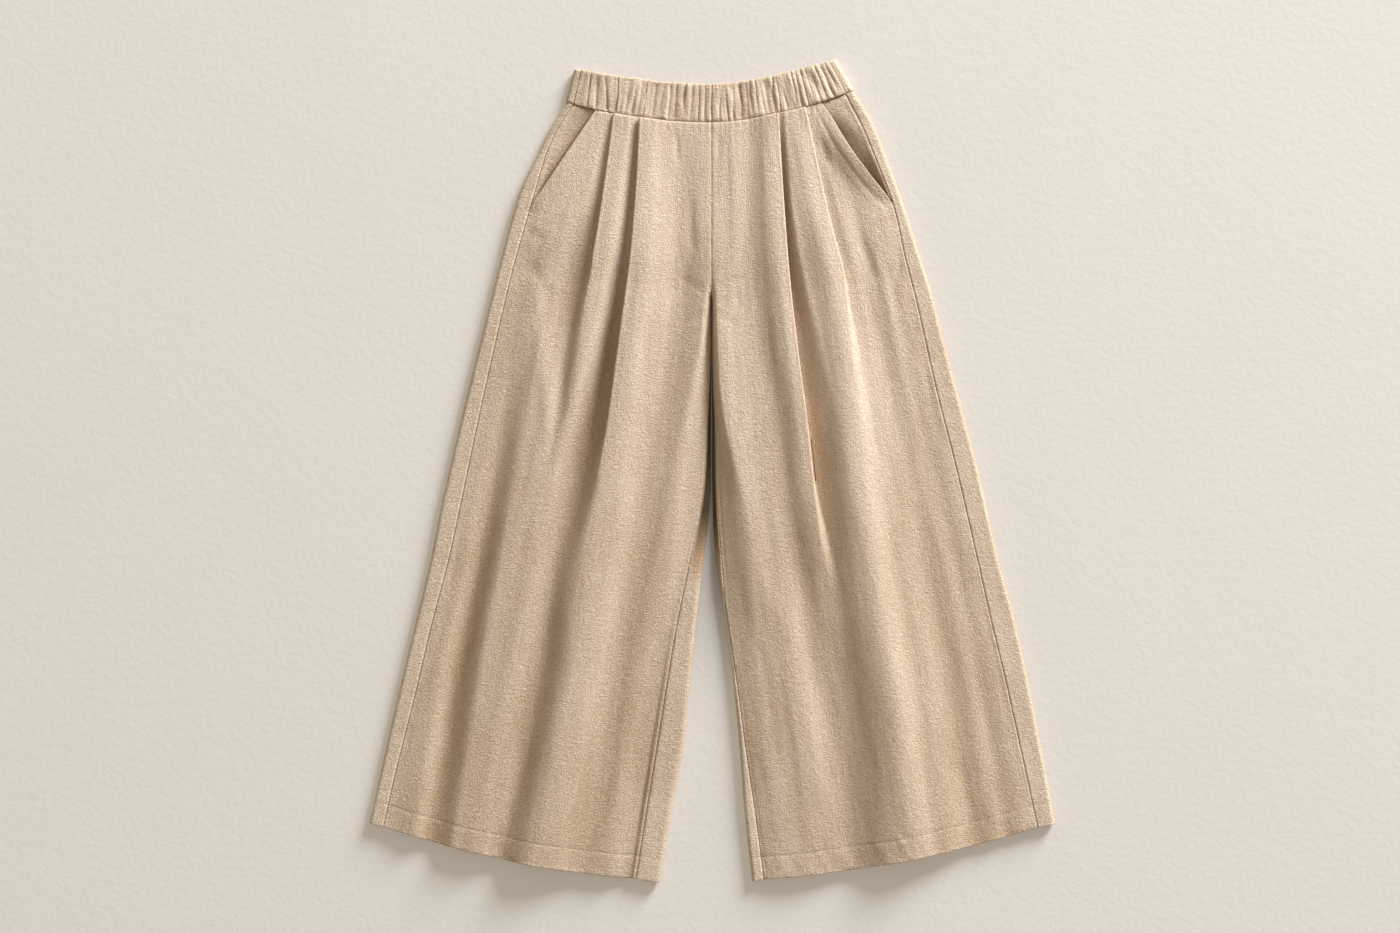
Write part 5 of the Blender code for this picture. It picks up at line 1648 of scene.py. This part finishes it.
def lay_stitches(name: str, lines: list[np.ndarray], material: bpy.types.Material,
                 pitch: float = 3.3, length: float = 2.3, radius: float = 0.28) -> bpy.types.Object:
    """Sew rows of stitches as one piece of thread.

    Args:
        name: the piece's name.
        lines: the sewn lines, as points on the cloth in millimetres.
        material: the thread.
        pitch: from stitch to stitch.
        length: of one stitch.
        radius: of the thread.

    Returns:
        The piece.
    """
    ring = np.arange(6) * math.pi / 3.0
    stations = ((-0.5, 0.35, -0.25), (-0.3, 1.0, 0.12), (0.3, 1.0, 0.12), (0.5, 0.35, -0.25))
    template = np.array([(along, math.cos(angle) * wide, math.sin(angle) * wide + rise)
                         for along, wide, rise in stations for angle in ring])
    caps = [list(range(5, -1, -1)), list(range(18, 24))]
    walls = [[step * 6 + side, step * 6 + (side + 1) % 6, step * 6 + 6 + (side + 1) % 6,
              step * 6 + 6 + side] for step in range(3) for side in range(6)]
    vertices, faces = [], []
    for line in lines:
        steps = np.linalg.norm(np.diff(line, axis=0), axis=1)
        run = np.concatenate([[0.0], np.cumsum(steps)])
        for index in range(int(run[-1] / pitch)):
            middle = (index + 0.5) * pitch
            ends = [np.array([np.interp(middle + side * 0.6, run, line[:, axis])
                              for axis in range(3)]) for side in (-1.0, 1.0)]
            way = ends[1] - ends[0]
            way = way / np.linalg.norm(way)
            across = np.cross((0.0, 0.0, 1.0), way)
            across = across / np.linalg.norm(across)
            upward = np.cross(way, across)
            centre = (ends[0] + ends[1]) / 2.0
            first = len(template) * len(vertices)
            vertices.append(centre + template[:, :1] * length * way
                            + template[:, 1:2] * radius * across
                            + template[:, 2:3] * radius * upward)
            faces += [[first + corner for corner in face] for face in walls + caps]
    mesh = bpy.data.meshes.new(name)
    mesh.from_pydata((np.concatenate(vertices) * MM).tolist(), [], faces)
    return placed(name, mesh, material)


@dataclass
class HalfTrousers:
    """One half of the trousers: its front, back, hip piece, band front and stitches."""

    leg: LegTables
    materials: dict[str, bpy.types.Material]

    def build(self) -> dict[str, bpy.types.Object]:
        """Build and dress the half.

        Returns:
            The pieces by what they are.
        """
        name = self.leg.name
        linen = self.materials["linen"]
        front = FrontPanel(self.leg).grid()
        back = BackPanel(self.leg).grid()
        hip = HipPiece(self.leg, dent=6.0 if self.leg.side_of is Side.LEFT else 3.6).grid()
        reach = abs(BAND[0][0]) if self.leg.side_of is Side.RIGHT else BAND[-1][0]
        band = WaistbandFront(self.leg, reach - BAND_SIDE_JOIN - SEAM_GAP).grid()
        pieces = {
            "front": front.make(f"{name}_front_panel", linen),
            "back": back.make(f"{name}_back_panel", linen),
            "hip": hip.make(f"{name}_hip_piece", linen),
            "band": band.make(f"{name}_band_front", linen),
        }
        pieces["stitches"] = lay_stitches(
            f"{name}_front_stitching", self.sewn_lines(front, back), self.materials["thread"])
        self.declare(pieces)
        return pieces

    def sewn_lines(self, front: ClothGrid, back: ClothGrid) -> list[np.ndarray]:
        """The lines of stitches on a half's upper side.

        Args:
            front: the front's grid, already made.
            back: the back's grid, already made.

        Returns:
            The lines, as points on the outer faces.
        """
        shares = down_the_leg()
        face = front.faces[0]
        seam_line, pocket_line = [], []
        for row, share in enumerate(shares):
            boundary = front.out[row, 0]
            if share > POCKET_END - 0.002:
                seam_line.append(front.ridge(row, boundary - SEAM_STITCH))
            elif share > 0.004:
                pocket_line.append(front.ridge(row, boundary - POCKET_STITCH))
        hem_row = int(np.argmin(np.abs(shares - HEM_LINE)))
        order = np.argsort(front.out[hem_row])
        hem = back.faces[0][hem_row]
        side = hem[:back.out.shape[1] // 2]
        inside = hem[back.out.shape[1] // 2:]
        strips = [strip[strip[:, 2] > TOP_OF_ROLL - 0.6] for strip in (side, inside)]
        lines = [np.array(seam_line), np.array(pocket_line), face[hem_row][order]]
        return lines + [strip for strip in strips if len(strip) > 3]

    def declare(self, pieces: dict[str, bpy.types.Object]) -> None:
        """Attach the pieces to the root body, hide the imported parts they stand for, and log their
        faces.

        Args:
            pieces: the half's pieces.
        """
        name = self.leg.name
        nodes = {"front": f"front_{name}", "back": f"back_{name}", "hip": f"hip_{name}",
                 "band": f"waistband_front_{name}"}
        rests = {"front": [pieces["back"].name], "back": ["floor"], "hip": [pieces["back"].name],
                 "band": ["waistband_back_casing"]}
        for part, piece in pieces.items():
            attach(piece, "root")
            if part in nodes:
                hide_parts(nodes[part])
            LOG.info("%s: %d faces", piece.name, len(piece.data.polygons))


@dataclass
class Studio:
    """A plain pale floor, one wide soft lamp far off to the upper right, and the camera.

    The lamp stands lamp_distance away in the direction lamp_way in plan, at
    lamp_height degrees above the floor, and is lamp_size across.
    """

    lens: float = 85.0
    frame_width: float = 1.704
    centre: tuple[float, float] = (-0.014, 0.0069)
    lamp_way: tuple[float, float] = (0.58, 0.81)
    lamp_height: float = 17.0
    lamp_distance: float = 10.0
    lamp_size: float = 4.2
    lamp_power: float = 2080.0
    lamp_colour: Colour = (0.965, 0.978, 1.0)
    sky_strength: float = 0.36
    sky_colour: Colour = (1.0, 0.875, 0.72)

    def build(self, floor_material: bpy.types.Material) -> None:
        """Build the floor, the lights and the camera.

        Args:
            floor_material: the floor's material.
        """
        self.lay_floor(floor_material)
        self.hang_lamp()
        self.light_sky()
        self.aim_camera()
        bpy.context.scene.view_settings.view_transform = "Standard"

    def lay_floor(self, material: bpy.types.Material) -> None:
        """Lay the floor just under the garment."""
        bpy.ops.object.select_all(action="DESELECT")
        bpy.ops.mesh.primitive_plane_add(size=6.0, location=(0.0, 0.0, -0.0003))
        floor = bpy.context.object
        floor.name = "floor"
        bpy.ops.object.transform_apply(location=True, rotation=True, scale=True)
        floor.data.materials.append(material)

    def hang_lamp(self) -> None:
        """Hang the wide soft lamp and point it at the garment."""
        light = bpy.data.lights.new("soft_lamp", "AREA")
        light.shape = "DISK"
        light.size = self.lamp_size
        light.energy = self.lamp_power
        light.color = self.lamp_colour
        lamp = bpy.data.objects.new("soft_lamp", light)
        height = math.radians(self.lamp_height)
        flat = self.lamp_distance * math.cos(height)
        lamp.location = (self.lamp_way[0] * flat, self.lamp_way[1] * flat,
                         self.lamp_distance * math.sin(height))
        lamp.rotation_euler = (-lamp.location).to_track_quat("-Z", "Y").to_euler()
        bpy.context.scene.collection.objects.link(lamp)

    def light_sky(self) -> None:
        """Fill the sky with a pale even light."""
        world = bpy.data.worlds.new("pale_sky")
        world.use_nodes = True
        sky = world.node_tree.nodes["Background"]
        sky.inputs["Color"].default_value = (*self.sky_colour, 1.0)
        sky.inputs["Strength"].default_value = self.sky_strength
        bpy.context.scene.world = world

    def aim_camera(self) -> None:
        """Hang the camera straight above, where the garment fills the picture as it should."""
        camera = bpy.data.cameras.new("camera")
        camera.lens = self.lens
        eye = bpy.data.objects.new("camera", camera)
        eye.location = (*self.centre, self.frame_width * self.lens / camera.sensor_width)
        eye.rotation_euler = (0.0, 0.0, 0.0)
        bpy.context.scene.collection.objects.link(eye)
        bpy.context.scene.camera = eye


def main() -> None:
    """Build the trousers and the studio."""
    materials = Finishes().build()
    for leg in (RIGHT_LEG, LEFT_LEG):
        HalfTrousers(leg, materials).build()
    casing = WaistbandBack().grid().make("waistband_back_casing", materials["linen"])
    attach(casing, "root")
    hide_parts("waistband_back")
    Studio().build(materials["floor"])


if __name__ == "__main__":
    logging.basicConfig(level=logging.INFO)
    main()
